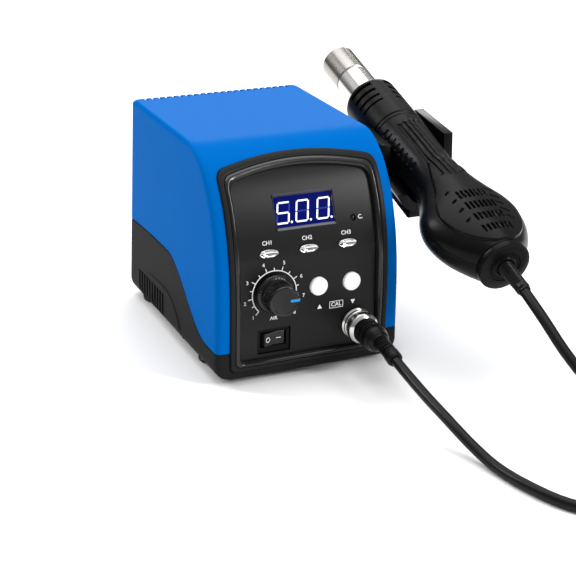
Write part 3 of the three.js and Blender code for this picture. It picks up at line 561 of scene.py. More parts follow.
def add_world():
    """A studio that is dim round the horizon and bright overhead."""
    world = bpy.data.worlds.new("studio")
    world.use_nodes = True
    place = add_node(world, "ShaderNodeTexCoord").outputs["Generated"]
    height = add_node(world, "ShaderNodeSeparateXYZ", Vector=place).outputs["Z"]
    shade = add_ramp(world, height, HORIZON, ZENITH, ends=(0, 0.75))
    link(shade, world.node_tree.nodes["Background"].inputs["Color"])
    bpy.context.scene.world = world


def add_softbox(name, place, target, size, power):
    """A rectangular light. Its place, target and size are in metres, and its power is in watts."""
    light = bpy.data.lights.new(name, "AREA")
    light.shape = "RECTANGLE"
    light.size, light.size_y = size
    light.energy = power
    turn = (Vector(target) - Vector(place)).to_track_quat("-Z", "Y").to_matrix().to_4x4()
    add_object(name, light).matrix_world = Matrix.Translation(place) @ turn


def add_lights():
    add_world()
    add_softbox("softbox_top", (0.1, 0.4, 1.7), (0.1, 0.4, 0), (1.7, 1.7), 25)
    add_softbox("softbox_left", (-0.95, 0.7, 0.95), (0, 0, 0.1), (0.16, 0.7), 9)
    add_softbox("softbox_panel", (0.99, -1.18, 0.92), (0, 0, 0.1), (0.26, 1.0), 22)
    add_softbox("softbox_back", (0.77, 1.68, 0.85), (0, 0, 0.1), (0.9, 0.5), 10)
    bpy.context.scene.view_settings.view_transform = "Standard"


# ---- cable

FRONT_RUN = [
    (28.9, -46.4, 19.7), (29.4, -62, 16.4), (30, -79.3, 13), (31.5, -97.8, 9.2), (33, -110.4, 6),
    (35, -121.3, 2.9), (37.6, -136, 0.2), (42, -157, FLOOR_LINE), (51, -179, FLOOR_LINE),
    (67, -194.5, FLOOR_LINE), (88, -198.5, FLOOR_LINE), (106, -189, FLOOR_LINE), (116, -171, FLOOR_LINE),
    (119.6, -152, FLOOR_LINE), (120.1, -138.4, FLOOR_LINE),
]
REAR_RUN = [
    (134.8, -154.6, 7.2), (124, -153.6, 9.4), (112, -149.2, 14.4), (101, -139.6, 22.8), (93.4, -126, 33),
    (89.6, -110.5, 42.6), (88.3, -94.4, 51.8), (88, -83.2, 57), (88, -73.9, 60.75),
]


def coil_run():
    """Two turns on the bench from the outside in, then one and three quarters on top of them, outwards."""
    turn_steps = 16
    low_steps = 2 * turn_steps
    high_steps = 7 * turn_steps // 4
    climb_start, climb_steps = low_steps - 3, 5
    points = []
    for step in range(low_steps + high_steps + 1):
        angle = pi - 2 * pi * step / turn_steps
        inward = min(step / low_steps, 1)
        outward = max(step - low_steps, 0) / high_steps
        radius = COIL_OUTER + (COIL_INNER - COIL_OUTER) * inward + (COIL_OUTER - COIL_INNER) * 0.95 * outward
        climb = min(max((step - climb_start) / climb_steps, 0), 1)
        height = FLOOR_LINE + 2 * CABLE_RADIUS * climb
        points.append((*(COIL_MIDDLE + radius * Vector((cos(angle), sin(angle)))), height))
    return points


def add_cable(on_it):
    line = smooth_line([*FRONT_RUN, *coil_run(), *REAR_RUN], 2 * CABLE_RADIUS)
    nodes = ("cable_front_run", "cable_coil", "cable_rear_run")
    cable = add_piece("cable", tube(line, CABLE_RADIUS, 16), "soft_rubber", *nodes, body=None)
    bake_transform(cable)


# ---- housing form

def front_y(z, inset=0):
    """The front wall, a superellipse that leans back into the top."""
    rise = min(max((z - HEIGHT + FRONT_RISE) / (FRONT_RISE - inset), 0), 1)
    return FRONT_REACH - (FRONT_REACH - inset) * (1 - rise**FRONT_POWER) ** (1 / FRONT_POWER)


def front_lean(z):
    return atan2(front_y(z + 0.5) - front_y(z - 0.5), 1)


def round_off(distance, radius):
    """How far a rounded edge stands back, at a distance from the plane that it runs into."""
    short = max(radius - distance, 0)
    return radius - sqrt(max(radius**2 - short**2, 0))


def half_width(z, inset):
    rounding = round_off(z, BOTTOM_RADIUS) + round_off(HEIGHT - z, TOP_RADIUS)
    return HALF_WIDTH - SIDE_DRAFT * z / HEIGHT - inset - rounding


def back_y(z, inset):
    return (
        DEPTH - BACK_LEAN * z / HEIGHT - inset
        - round_off(z, FRONT_EDGE_RADIUS) - round_off(HEIGHT - z, TOP_RADIUS)
    )


def housing_columns():
    """The skin's columns, anticlockwise from the right front corner: the corner each belongs to, its angle
    there, and its share of the way along the wall to the next corner."""
    columns = []
    for index, corner in enumerate(((1, 0), (1, 1), (-1, 1), (-1, 0))):
        start = -90 + 90 * index
        columns += [(corner, radians(start + 90 * step / 6), 0) for step in range(7)]
        columns += [(corner, radians(start + 90), step / 40) for step in range(1, 40)]
    return columns


NEXT_CORNER = {(1, 0): (1, 1), (1, 1): (-1, 1), (-1, 1): (-1, 0), (-1, 0): (1, 0)}


def housing_point(column, z, inset=0):
    """A point of the housing's wall at a height, moved inwards by the inset."""
    corner, angle, share = column
    radius = max(UPRIGHT_RADIUS - inset, 0.5)
    x = half_width(z, inset) - radius
    ends = (front_y(z, inset) + round_off(z, FRONT_EDGE_RADIUS) + radius, back_y(z, inset) - radius)
    start = Vector((corner[0] * x, ends[corner[1]]))
    following = NEXT_CORNER[corner]
    place = start.lerp(Vector((following[0] * x, ends[following[1]])), share)
    place += radius * Vector((cos(angle), sin(angle)))
    return place.x, place.y, z


def seam_height(y):
    """The height of the line where the blue cover meets the black tray."""
    rise = SEAM.rise * smoothstep(y, SEAM.rise_start, SEAM.rise_end)
    fall = SEAM.fall * smoothstep(y, SEAM.fall_start, 2 * DEPTH - SEAM.fall_start)
    return SEAM.front_height + rise - 2 * fall


def seam_of(column):
    """The seam's height where a column crosses it."""
    z = SEAM.front_height
    for _ in range(4):
        z = seam_height(housing_point(column, z)[1])
    return z


def arch_outline(inset, corner=BEZEL_CORNER):
    """The outline of the bezel's opening in x and z, moved inwards. It always has as many points."""
    side = BEZEL.half_width - inset
    bottom = BEZEL.bottom + BEZEL_BOTTOM_SHARE * inset
    end = BEZEL.arch_end - 0.8 * inset
    top = BEZEL.arch_end_height - inset
    shoulder = top - 6.3
    return [
        *arc(side - corner, bottom + corner, corner, -90, 0, 8),
        *[(side, z) for z in between(bottom + corner, shoulder, 50)[1:-1]],
        *bezier2((side, shoulder), (side, top - 1), (end, top), 10),
        *bezier2((end, top), (0, BEZEL.arch_pull - inset), (-end, top), 48),
        *bezier2((-end, top), (-side, top - 1), (-side, shoulder), 10),
        *[(-side, z) for z in between(shoulder, bottom + corner, 50)[:-1]],
        *arc(corner - side, bottom + corner, corner, 180, 270, 8),
        *[(x, bottom) for x in between(corner - side, side - corner, 30)[1:-1]],
    ]


def over_front(x, z, lift):
    """The point that stands off the front wall by the lift."""
    lean = front_lean(z)
    return x, front_y(z) - lift * cos(lean), z + lift * sin(lean)


def panel_frame(x, z):
    """The frame of something on the panel's face: x to the right, y into the housing, z up the panel."""
    lean = front_lean(z)
    return Matrix.Translation(over_front(x, z, -PANEL_INSET)) @ Matrix.Rotation(-lean, 4, "X")


def on_panel(x, z):
    return STATION @ panel_frame(x, z)


# ---- cover and tray

def wall_levels(steps):
    """Heights up the upper wall, closer together where the front leans back."""
    angles = between(radians(17), radians(90), steps)
    return [HEIGHT - FRONT_RISE + FRONT_RISE * sin(angle) ** (2 / FRONT_POWER) for angle in angles]


def wall_ring(columns, heights, inset=0):
    """A ring round the housing's wall, at one height or at a height for each column."""
    if not isinstance(heights, list):
        heights = [heights] * len(columns)
    return [housing_point(column, z, inset) for column, z in zip(columns, heights)]


def rows_between(columns, low, high, steps):
    """Rings that go from one height for each column to another."""
    return [
        wall_ring(columns, [z0 + (z1 - z0) * share for z0, z1 in zip(low, high)])
        for share in between(0, 1, steps)
    ]


def through_front(inset=0, corner=BEZEL_CORNER):
    """The bezel's opening as a cutter right through the front wall."""
    return prism_y(arch_outline(inset, corner), -10, 60)


def cover_vents():
    """A row of slots through the top back edge."""
    half = COVER_VENT.width / 2
    vents = []
    for index in range(COVER_VENT.count):
        x = (index - (COVER_VENT.count - 1) / 2) * COVER_VENT.pitch
        vents.append(block(x - half, x + half, COVER_VENT.front_y, DEPTH + 5, COVER_VENT.bottom, HEIGHT + 5))
    return vents


def add_cover():
    columns = housing_columns()
    seam = [seam_of(column) + GAP / 2 for column in columns]
    levels = wall_levels(40)
    inner_levels = [HEIGHT - WALL, *[z for z in reversed(wall_levels(14)) if z < HEIGHT - WALL]]
    skin = loft([
        *[wall_ring(columns, z, WALL) for z in inner_levels],
        wall_ring(columns, seam, WALL),
        wall_ring(columns, seam, SEAM_CHAMFER),
        *rows_between(columns, [z + SEAM_CHAMFER for z in seam], [levels[0]] * len(columns), 14),
        *[wall_ring(columns, z) for z in levels[1:]],
        wall_ring(columns, HEIGHT, 1.5),
    ])
    add_piece("cover", skin, "cover_blue", "top_cover", cuts=[through_front(), *cover_vents()])


def tray_vents():
    """Rows of upright slots through both side walls."""
    half = TRAY_VENT.width / 2
    vents = []
    for index in range(TRAY_VENT.count):
        y = TRAY_VENT.first_y + index * TRAY_VENT.pitch
        for side in (-1, 1):
            x0, x1 = sorted((side * 46, side * 60))
            vents.append(block(x0, x1, y - half, y + half, TRAY_VENT.bottom, TRAY_VENT.top))
    return vents


def inlet_hole():
    width, height = INLET.width / 2 + GAP, INLET.height / 2 + GAP
    return block(INLET.x - width, INLET.x + width, 130, 160, INLET.z - height, INLET.z + height)


def add_tray():
    columns = housing_columns()
    seam = [seam_of(column) - GAP / 2 for column in columns]
    rounding = [BOTTOM_RADIUS * (1 - cos(angle)) for angle in between(0, pi / 2, 10)]
    skin = loft([
        wall_ring(columns, 0, 1.5),
        *[wall_ring(columns, z) for z in rounding[:-1]],
        *rows_between(columns, [rounding[-1]] * len(columns), [z - SEAM_CHAMFER for z in seam], 10),
        wall_ring(columns, seam, SEAM_CHAMFER),
        wall_ring(columns, seam, WALL),
        *[wall_ring(columns, z, WALL) for z in (9, 6, 4, 3, WALL)],
    ])
    add_piece("tray", skin, "tray_black", "base_tray", cuts=[through_front(), inlet_hole(), *tray_vents()])
    for name, side in (("left", -1), ("right", 1)):
        add_piece(f"tray_swoosh_{name}", swoosh(side), "tray_black")


SWOOSH = [
    (114.5, 23.5), (97, 24.2), (81.7, 24.3), (73.5, 22.8), (68.7, 19.9), (62.3, 15.4), (57.5, 9.5), (54.5, 4),
]


def swoosh(side):
    """A raised line that runs forward over the vents and down to the tray's lower edge."""
    line = smooth_line([(side * (half_width(z, 0) - 0.15), y, z) for y, z in SWOOSH], 1.5)
    return tube(line, lambda share: 0.65 * min(share * 8 + 0.2, 1), 10)


def add_feet():
    radius = FOOT.radius
    profile = [
        (radius - 0.4, -GAP), (radius, -GAP - 0.4), (radius - 0.2, 0.8 - FOOT_HEIGHT),
        (radius - 1, -FOOT_HEIGHT), (radius - 2.4, -FOOT_HEIGHT), (radius - 2.8, 0.5 - FOOT_HEIGHT),
    ]
    foot = moved(turned(profile, 40), Matrix.Rotation(pi / 2, 4, "X"))
    places = [(side * FOOT.x, y) for side in (-1, 1) for y in FOOT.y]
    for number, (x, y) in enumerate(places, 1):
        add_piece(f"rubber_foot_{number}", shift(foot, x=x, y=y), "soft_rubber", f"foot_{number}")


# ---- bezel and panel

def add_bezel():
    """A flat band round the panel, with a rounded bead along its inner edge."""
    band = [
        (GAP, -5), (GAP, 0.7), (0.5, 1.15), (0.95, 1.35), (2.7, 1.3), (2.95, 1.1), (3.1, 0.7), (3.1, -5),
    ]
    bead = [
        (3.15, -5), (3.15, 0.7), (3.3, 1.1), (3.7, 1.5), (4.3, 1.75), (4.9, 1.7), (5.4, 1.45), (5.8, 1),
        (6.05, 0.5), (RING_WIDTH, -0.1), (RING_WIDTH, -5),
    ]
    for name, section, material in (("bezel_band", band, "bezel_black"), ("bezel_bead", bead, "bead_black")):
        rings = [[over_front(x, z, lift) for x, z in arch_outline(inset)] for inset, lift in section]
        add_piece(name, loft(rings, closed=True), material, "front_bezel")


def panel_cuts():
    """The holes of the panel, in the station frame."""
    led, barrel, button = (radius + GAP for radius in (LED.radius, SOCKET.barrel, ROUND_BUTTON.radius))
    channel = ellipse(CHANNEL.half_length + GAP, CHANNEL.half_height + GAP)
    holes = [
        (rounded_rectangle(DISPLAY.width, DISPLAY.height, 0.8), 0, DISPLAY.z),
        (ellipse(led, led, 24), LED.x, LED.z),
        (ellipse(4, 4, 24), KNOB.x, KNOB.z),
        (ellipse(barrel, barrel), SOCKET.x, SOCKET.z),
        (rounded_rectangle(SWITCH.width, SWITCH.height, 0.6), SWITCH.x, SWITCH.z),
        *[(channel, index * CHANNEL.pitch, CHANNEL.z) for index in (-1, 0, 1)],
        *[(ellipse(button, button), x, ROUND_BUTTON.z) for x in ROUND_BUTTON.x],
    ]
    return [moved(prism_y(outline, -5, 9), panel_frame(x, z)) for outline, x, z in holes]


def add_panel():
    reach = 50
    rings = []
    for z in [-5, 10, 25, *[level for level in wall_levels(48) if level < HEIGHT - 2]]:
        front = over_front(reach, z, -PANEL_INSET)
        back = over_front(reach, z, -PANEL_INSET - PANEL_THICKNESS)
        rings.append([(-reach, *front[1:]), front, back, (-reach, *back[1:])])
    outline = through_front(RING_WIDTH + GAP, 1.2)
    add_piece("panel", loft(rings), "panel_grey", "front_panel", cuts=panel_cuts(), keep=outline)


def text_outlines(text, size):
    """The flat skin of some lettering about its own middle, in x and y."""
    curve = bpy.data.curves.new("lettering", "FONT")
    curve.body = text
    curve.size = size
    curve.align_x = "CENTER"
    curve.align_y = "CENTER"
    curve.resolution_u = 3
    curve.offset = TEXT_WEIGHT
    writing = add_object("lettering", curve)
    bpy.context.view_layer.update()
    mesh = bpy.data.meshes.new_from_object(writing.evaluated_get(bpy.context.evaluated_depsgraph_get()))
    points = [tuple(vertex.co) for vertex in mesh.vertices]
    faces = [tuple(polygon.vertices) for polygon in mesh.polygons]
    bpy.data.curves.remove(curve)
    bpy.data.meshes.remove(mesh)
    return points, faces


def printed(flat, x, z, lift=0.06):
    """A flat skin, in x and y, laid on the panel's face about a place on it."""
    points = [over_front(x + point[0], z + point[1], lift - PANEL_INSET) for point in flat[0]]
    return points, flat[1]


def stroke(points, width):
    """A flat line of even width through points in x and y."""
    points = [Vector(point[:2]) for point in points]
    edges = []
    for index, point in enumerate(points):
        ahead = (points[min(index + 1, len(points) - 1)] - points[max(index - 1, 0)]).normalized()
        side = Vector((-ahead.y, ahead.x)) * width / 2
        edges += [(*(point + side), 0), (*(point - side), 0)]
    faces = [(2 * i, 2 * i + 1, 2 * i + 3, 2 * i + 2) for i in range(len(points) - 1)]
    return edges, faces


def polar(radius, angle):
    """A point at a distance and an angle in degrees."""
    return radius * cos(radians(angle)), radius * sin(radians(angle))


def dial_marks():
    """The dial's line, a long tick at each mark with a short one between, and the numerals."""
    ring = [polar(DIAL.radius, DIAL.start - DIAL.step * DIAL.steps * part / 90) for part in range(91)]
    skins = [printed(stroke(ring, 0.55), KNOB.x, KNOB.z)]
    for half_step in range(12):
        angle = DIAL.start - DIAL.step * half_step / 2
        end = DIAL.minor if half_step % 2 else DIAL.major
        skins.append(printed(stroke([polar(DIAL.radius, angle), polar(end, angle)], 0.5), KNOB.x, KNOB.z))
    for number, angle in enumerate(NUMERAL_ANGLES, 1):
        x, z = polar(DIAL.numerals, angle)
        skins.append(printed(text_outlines(str(number), 2.9), KNOB.x + x, KNOB.z + z))
    return skins


def add_markings():
    labels = [(f"CH{number + 1}", 3.1, (number - 1) * CHANNEL.pitch - 0.4, 75.5) for number in range(3)]
    labels += [("C.", 3.1, LED.x + 4.3, LED.z), ("AIR", 2.9, KNOB.x - 0.3, 32.8), ("CAL", 3.4, *CAL_MIDDLE)]
    skins = dial_marks() + [printed(text_outlines(text, size), x, z) for text, size, x, z in labels]
    box = [(-4, -1.9), (4, -1.9), (4, 1.9), (-4, 1.9), (-4, -1.9)]
    skins += [printed(stroke(side, 0.3), *CAL_MIDDLE) for side in zip(box, box[1:])]
    up = [(-1.4, -1.2, 0), (1.4, -1.2, 0), (0, 1.3, 0)]
    down = [(-x, -z, 0) for x, z, _ in up]
    for triangle, place in ((up, (6.5, 35.3)), (down, (26.7, 35.4))):
        skins.append(printed((triangle, [(0, 1, 2)]), *place))
    add_piece("panel_markings", thicken(together(*skins)), "white_ink")


def thicken(skin, thickness=0.1):
    """A flat skin on the panel with a thin body behind it."""
    points, faces = skin
    count = len(points)
    back = [(x, y + thickness, z) for x, y, z in points]
    back_faces = [tuple(index + count for index in reversed(face)) for face in faces]
    edges = dict.fromkeys(edge for face in faces for edge in zip(face, face[1:] + face[:1]))
    sides = [(b, a, a + count, b + count) for a, b in edges if (b, a) not in edges]
    return points + back, [*faces, *back_faces, *sides]


# ---- display

# The six corners of a digit, and the seven bars between them in their usual order.
CORNERS = [(-1, 1), (1, 1), (1, 0), (1, -1), (-1, -1), (-1, 0)]
SEGMENTS = dict(zip("abcdef", zip(CORNERS, CORNERS[1:] + CORNERS[:1])))
SEGMENTS["g"] = (CORNERS[5], CORNERS[2])
DIGIT_SEGMENTS = {"5": "acdfg", "0": "abcdef"}


def on_glass(outline):
    return prism_y(outline, DISPLAY.depth - 0.12, DISPLAY.depth + 0.05)


def segment(start, end, x):
    """A bar with pointed ends between two corners of a digit, slanted."""
    a, b = (Vector((side * DIGIT.half_width, level * DIGIT.half_height)) for side, level in (start, end))
    ahead = (b - a).normalized()
    side = Vector((ahead.y, -ahead.x)) * DIGIT.stroke / 2
    near, far = a + ahead * 0.2, b - ahead * 0.2
    inner, outer = near + ahead * 0.3, far - ahead * 0.3
    outline = [near, inner + side, outer + side, far, outer - side, inner - side]
    slant = tan(radians(DIGIT.slant))
    return on_glass([(x + point.x + point.y * slant, point.y + DIGIT.z) for point in outline])


def display_digits():
    """The lit and the unlit segments, with a point after each digit."""
    lit, dim = [], []
    for x, character in zip(DIGIT.x, "500"):
        for name, (start, end) in SEGMENTS.items():
            (lit if name in DIGIT_SEGMENTS[character] else dim).append(segment(start, end, x))
        point = arc(x + DIGIT.half_width + 0.9, DIGIT.z - DIGIT.half_height + 0.2, 0.62, 0, 345, 23)
        lit.append(on_glass(point))
    return together(*lit), together(*dim)


def display_surround():
    """A frame whose inner sides slope down to the glass."""
    outer = rounded_rectangle(DISPLAY.width - 0.1, DISPLAY.height - 0.1, 0.8)
    edge = rounded_rectangle(DISPLAY.width - 0.7, DISPLAY.height - 0.7, 0.6)
    inner = rounded_rectangle(DISPLAY.glass_width, DISPLAY.glass_height, 0.4)
    sections = [(outer, 2.6), (outer, -0.1), (edge, 0), (inner, DISPLAY.depth - 0.1), (inner, 2.6)]
    return loft_y(sections, closed=True)


def add_display():
    place = on_panel(0, DISPLAY.z)
    glass = rounded_rectangle(DISPLAY.glass_width - 0.1, DISPLAY.glass_height - 0.1, 0.4)
    window = prism_y(glass, DISPLAY.depth, 2.6)
    lit, dim = display_digits()
    add_piece("display_surround", display_surround(), "display_frame", place=place)
    add_piece("display_glass", window, "display_filter", "display_window", place=place)
    add_piece("display_segments_lit", lit, "display_lit", place=place)
    add_piece("display_segments_unlit", dim, "display_dim", place=place)
    lens = turned([(LED.radius, 5), (LED.radius, 0.6), (1.1, 0.25), (0.5, 0.1)], 32)
    add_piece("led_lens", lens, "dark_lens", "indicator_led", place=on_panel(LED.x, LED.z))


# ---- controls on the panel

def channel_cap():
    """A chromed oval cap: a dish in a rounded rim."""
    section = [
        (1, 6), (1, -0.5), (0.97, -0.85), (0.92, -1.0), (0.86, -0.95), (0.8, -0.75), (0.7, -0.45),
        (0.55, -0.2), (0.4, -0.05), (0.2, 0.05), (0.05, 0.08),
    ]
    long, short = CHANNEL.half_length, CHANNEL.half_height
    return loft_y([(ellipse(long * share, short * share, 56), y) for share, y in section])


def button_cap():
    radius, proud = ROUND_BUTTON.radius, ROUND_BUTTON.proud
    profile = [
        (radius, 6), (radius, 0.5 - proud), (radius - 0.15, 0.15 - proud), (radius - 0.5, -0.1 - proud),
        (radius - 1.2, -0.25 - proud), (radius * 0.5, -0.45 - proud), (0.3, -0.5 - proud),
    ]
    return turned(profile, 64)


def knob_flutes(angle, radius, y):
    """Fine flutes round the knob's upper body."""
    if radius < KNOB.face - 0.6 or not -KNOB.height + 0.9 < y < -3:
        return 0
    return -0.5 * (0.5 + 0.5 * cos(KNOB.flutes * angle))


def knob_body():
    face, skirt, height = KNOB.face, KNOB.skirt, KNOB.height
    profile = [
        (9.4, -2), (9.4, -0.5), (skirt - 0.2, -0.4), (skirt, -0.7), (skirt, -1.3), (10.6, -2.2), (9.9, -2.8),
        (9.45, -3.2), (9.4, -4.2), (9.0, -8), (face + 0.1, 1.2 - height), (face, 0.8 - height),
        (face - 0.35, 0.25 - height), (face - 0.9, -height), (face - 1.6, -height),
        (face - 1.9, 0.25 - height), (0.4, 0.25 - height),
    ]
    return turned(profile, 6 * KNOB.flutes, knob_flutes)


def add_controls():
    for number in (1, 2, 3):
        add_piece(
            f"channel_cap_{number}", channel_cap(), "silver_plastic", f"channel_{number}_button",
            body=f"channel_{number}", place=on_panel((number - 2) * CHANNEL.pitch, CHANNEL.z),
        )
    for x, name in zip(ROUND_BUTTON.x, ("up", "down")):
        add_piece(
            f"{name}_button_cap", button_cap(), "white_plastic", f"{name}_button",
            body=name, place=on_panel(x, ROUND_BUTTON.z),
        )
    on_knob = {"body": "knob", "place": on_panel(KNOB.x, KNOB.z)}
    pointer = block(3.2, KNOB.face + 0.1, -KNOB.height - 0.05, 0.9 - KNOB.height, -0.75, 0.75)
    add_piece("knob_body", knob_body(), "knob_black", "air_knob", **on_knob)
    add_piece("knob_mark", pointer, "pointer_blue", "knob_pointer", bevel=0.15, **on_knob)


def rocker_skin():
    """A drum about an upright pivot, with two flat faces: the left one stands out, the right one is in."""
    faces = [(-5.23, -4.88), (-0.4, -3.15), (0, -3.05), (0.4, -3), (6.49, -3)]
    drum = arc(0, 0, ROCKER_RADIUS, -24.8, 223, 40)[1:-1]
    return shift(prism_z(faces + drum, -3.9, 3.9), y=SWITCH.sunk + 3, z=SWITCH.lift)


def switch_frame():
    """A housing with a chamfered mouth a little above its middle."""
    sunk, lift = SWITCH.sunk, SWITCH.lift
    outer = rounded_rectangle(SWITCH.width - 2 * GAP, SWITCH.height - 2 * GAP, 0.5)
    mouth = [(x, z + lift) for x, z in rounded_rectangle(15.2, 8.8, 0.4)]
    wide = [(x, z + lift) for x, z in rounded_rectangle(15.8, 9.4, 0.6)]
    sections = [
        (outer, sunk + 2.2), (outer, sunk - 0.2), (wide, sunk - 0.25), (mouth, sunk + 0.1),
        (mouth, sunk + 6), (outer, sunk + 6),
    ]
    return loft_y(sections, closed=True)


def switch_marks():
    """A ring on the rocker's raised half, and a dash on its sunk half."""
    sunk, lift = SWITCH.sunk, SWITCH.lift
    upright = Matrix.Rotation(pi / 2, 4, "X")
    raised = Matrix.Translation((-3.6, sunk - 1.36, lift)) @ Matrix.Rotation(ROCKER_TILT, 4, "Z")
    flat = Matrix.Translation((3.2, sunk - 0.06, lift))
    ring = moved(stroke(arc(0, 0, 1.3, 0, 360, 32), 0.4), raised @ upright)
    dash = moved(stroke([(-1.4, 0), (1.4, 0)], 0.42), flat @ upright)
    return thicken(together(ring, dash), 0.05)


def add_switch():
    place = on_panel(SWITCH.x, SWITCH.z)
    add_piece("switch_frame", switch_frame(), "black_plastic", "power_switch_housing", place=place)
    on_rocker = {"body": "rocker", "place": place}
    add_piece("switch_rocker", rocker_skin(), "knob_black", "power_rocker", bevel=0.3, **on_rocker)
    add_piece("switch_marks", switch_marks(), "white_ink", **on_rocker)


# ---- connector

def knurl(angle, radius, y):
    return 0.12 * cos(36 * angle) if radius > 8.7 and -8.9 < y < -6 else 0


def add_connector():
    barrel, flange = SOCKET.barrel, SOCKET.flange
    socket = [
        (barrel, 9), (barrel, -0.35), (flange - 0.3, -0.35), (flange, -0.6), (flange, -1.2),
        (flange - 0.5, -1.8), (flange - 1.3, -2.2), (barrel, -2.2), (barrel, -8),
    ]
    ring = [
        (7.5, -8.6), (7.5, -2.5), (8.7, -2.5), (9.0, -2.8), (9.0, -3.9), (8.7, -4.3), (8.1, -4.5),
        (8.1, -5.3), (8.6, -5.5), (8.9, -5.9), (8.9, -9.0), (8.6, -9.5), (8.0, -9.9), (7.2, -10.7),
        (6.6, -11), (6.3, -11), (6.3, -8.6),
    ]
    place = on_panel(SOCKET.x, SOCKET.z)
    add_piece("chrome_socket", turned(socket), "bright_nickel", "connector_socket", place=place)
    plug_ring = add_piece(
        "chrome_ring", turned(ring, 144, knurl, closed=True), "bright_nickel", "plug_ring",
        body="plug_nut", place=place,
    )
    return [plug_ring, add_boot()]


def boot_radius(y):
    """The boot's outline along y: five deep ribs, a smooth bell, and a shoulder."""
    if y > -9.8:
        return 5.9
    if y > -21.3:
        return 7.4 - 1.5 * smoothstep(-cos(2 * pi * (y + 9.8) / 2.3), 0.1, 0.9)
    return 7.4 - 1.1 * smoothstep(-y, 21.6, 25.4) - 1.7 * smoothstep(-y, 25.4, 28.4)


def relief_radius(share):
    """Thin ribs up to a plain collar at the end."""
    if share > 0.74:
        return 4.4 - 0.6 * smoothstep(share, 0.94, 1)
    return 4.1 - 1.4 * smoothstep(cos(2 * pi * share / 0.74 * 7), -0.1, 0.9)


def add_boot():
    levels = between(-6.8, BOOT_END - 2.4, 108)
    body = shift(turned([(boot_radius(y), y) for y in levels], 64), x=SOCKET.x, z=SOCKET.z)
    start = (SOCKET.x, BOOT_END - 1, SOCKET.z)
    pull = (SOCKET.x, BOOT_END - 9, SOCKET.z)
    axis = [*bezier2(start, pull, RELIEF_END, 120), tuple(RELIEF_END)]
    relief = tube(axis, relief_radius, 40)
    return add_piece("ribbed_boot", together(body, relief), "soft_rubber", "plug_boot")


# ---- handpiece

def add_tube():
    radius, bore, split, reach, inside = TUBE.radius, TUBE.bore, TUBE.tip_from, TUBE.reach, TUBE.inside
    body = [
        (bore, split), (bore, -inside), (radius, -inside), (radius, split - 1.5), (radius, split - 0.5),
        (radius - 0.25, split - 0.1), (radius - 0.35, split),
    ]
    tip = [
        (bore - 0.4, reach), (bore - 0.4, split + 0.1), (radius - 0.4, split + 0.1), (radius, split + 0.5),
        (radius, split + 1.5), (radius, reach - 1.5), (radius, reach - 0.3), (radius - 0.3, reach),
    ]
    core = turned([(6.6, 36), (7.2, 35.4), (7.2, -37.4), (6.6, -38)], 6)
    add_piece("air_tube", turned(body, 96, closed=True), "polished_steel", "heater_tube", **HANDPIECE)
    add_piece("air_tube_tip", turned(tip, 96, closed=True), "burnt_steel", **HANDPIECE)
    add_piece("heater_core", core, "ceramic", "heater_element", bevel=0.5, **HANDPIECE)


def sector(inner, outer, middle, half_angle, s, width):
    """Part of a ring about the handpiece, with its middle at an angle from +x towards +z."""
    outside = arc(0, 0, outer, middle - half_angle, middle + half_angle, 16)
    inside = arc(0, 0, inner, middle + half_angle, middle - half_angle, 16)
    return prism_y([*outside, *inside], -s - width / 2, -s + width / 2)


def add_sleeve():
    radius, bore, length = SLEEVE.radius, SLEEVE.bore, SLEEVE.length
    lip = TUBE.radius + 0.5
    profile = [
        (lip, -2.6), (bore, -2.9), (bore, -length), (radius - 0.5, -length), (radius - 0.1, 0.5 - length),
        (radius - 0.1, 2.2 - length), (radius - 0.6, 2.5 - length), (radius - 0.6, 3.1 - length),
        (radius, 3.5 - length), (radius, 5 - length), (radius, -4.5), (radius, -2.6), (radius - 0.25, -1.6),
        (radius - 0.9, -0.7), (radius - 1.9, -0.15), (radius - 3, 0), (lip + 0.6, -0.1), (lip, -0.5),
    ]
    slots = [
        sector(bore - 2, radius + 2, middle, SLOT_HALF_ANGLE, s, width)
        for middle in SLOT_MIDDLES for s, width in SLEEVE_ROWS
    ]
    liner = [(12.6, -3.4), (12.6, 2 - length), (12.9, 2 - length), (12.9, -3.4)]
    sleeve = turned(profile, 120, closed=True)
    add_piece("sleeve_with_slots", sleeve, "black_plastic", "vent_sleeve", cuts=slots, **HANDPIECE)
    add_piece("sleeve_liner", turned(liner, 64, closed=True), "black_plastic", **HANDPIECE)


def groove(distance, half_width, depth, edge=0.35):
    return -depth * (1 - smoothstep(distance, half_width - edge / 2, half_width + edge / 2))


def to_stroke(x, s, start, end):
    """The distance from a point to a straight stroke, both in x and s."""
    dx, ds = end[0] - start[0], end[1] - start[1]
    share = ((x - start[0]) * dx + (s - start[1]) * ds) / (dx * dx + ds * ds)
    share = min(max(share, 0), 1)
    return hypot(x - start[0] - share * dx, s - start[1] - share * ds)


# Strokes of the grip's relief, each from one (x, s) to another.
GRIP_LINES = [
    ((-7.2, 49), (-5.8, 101)), ((-4.2, 49), (-2.2, 102)), ((-1, 48.5), (1.4, 102)), ((2, 48.5), (5, 101)),
    ((5, 49), (8.4, 99)),
]
GRILLE_ROWS = [(120.5, 127), (131, 137.3), (141, 146.5), (151, 156)]
GRILLE_COLUMNS = [-7.8, -5.2, -2.6, 0, 2.6, 5.2, 7.8]
GRILLE_SLOTS = [((x, start + 0.6), (x, end - 0.6)) for start, end in GRILLE_ROWS for x in GRILLE_COLUMNS]
GRILLE_DASHES = [((9.9, s), (13.8, s + 2.2)) for s in (119.5, 126.4, 132.6, 138.8, 145)]
GRILLE_TICKS = [((-13.4, s), (-11.4, s - 1.6)) for s in (120, 128.6, 136.8, 145)]


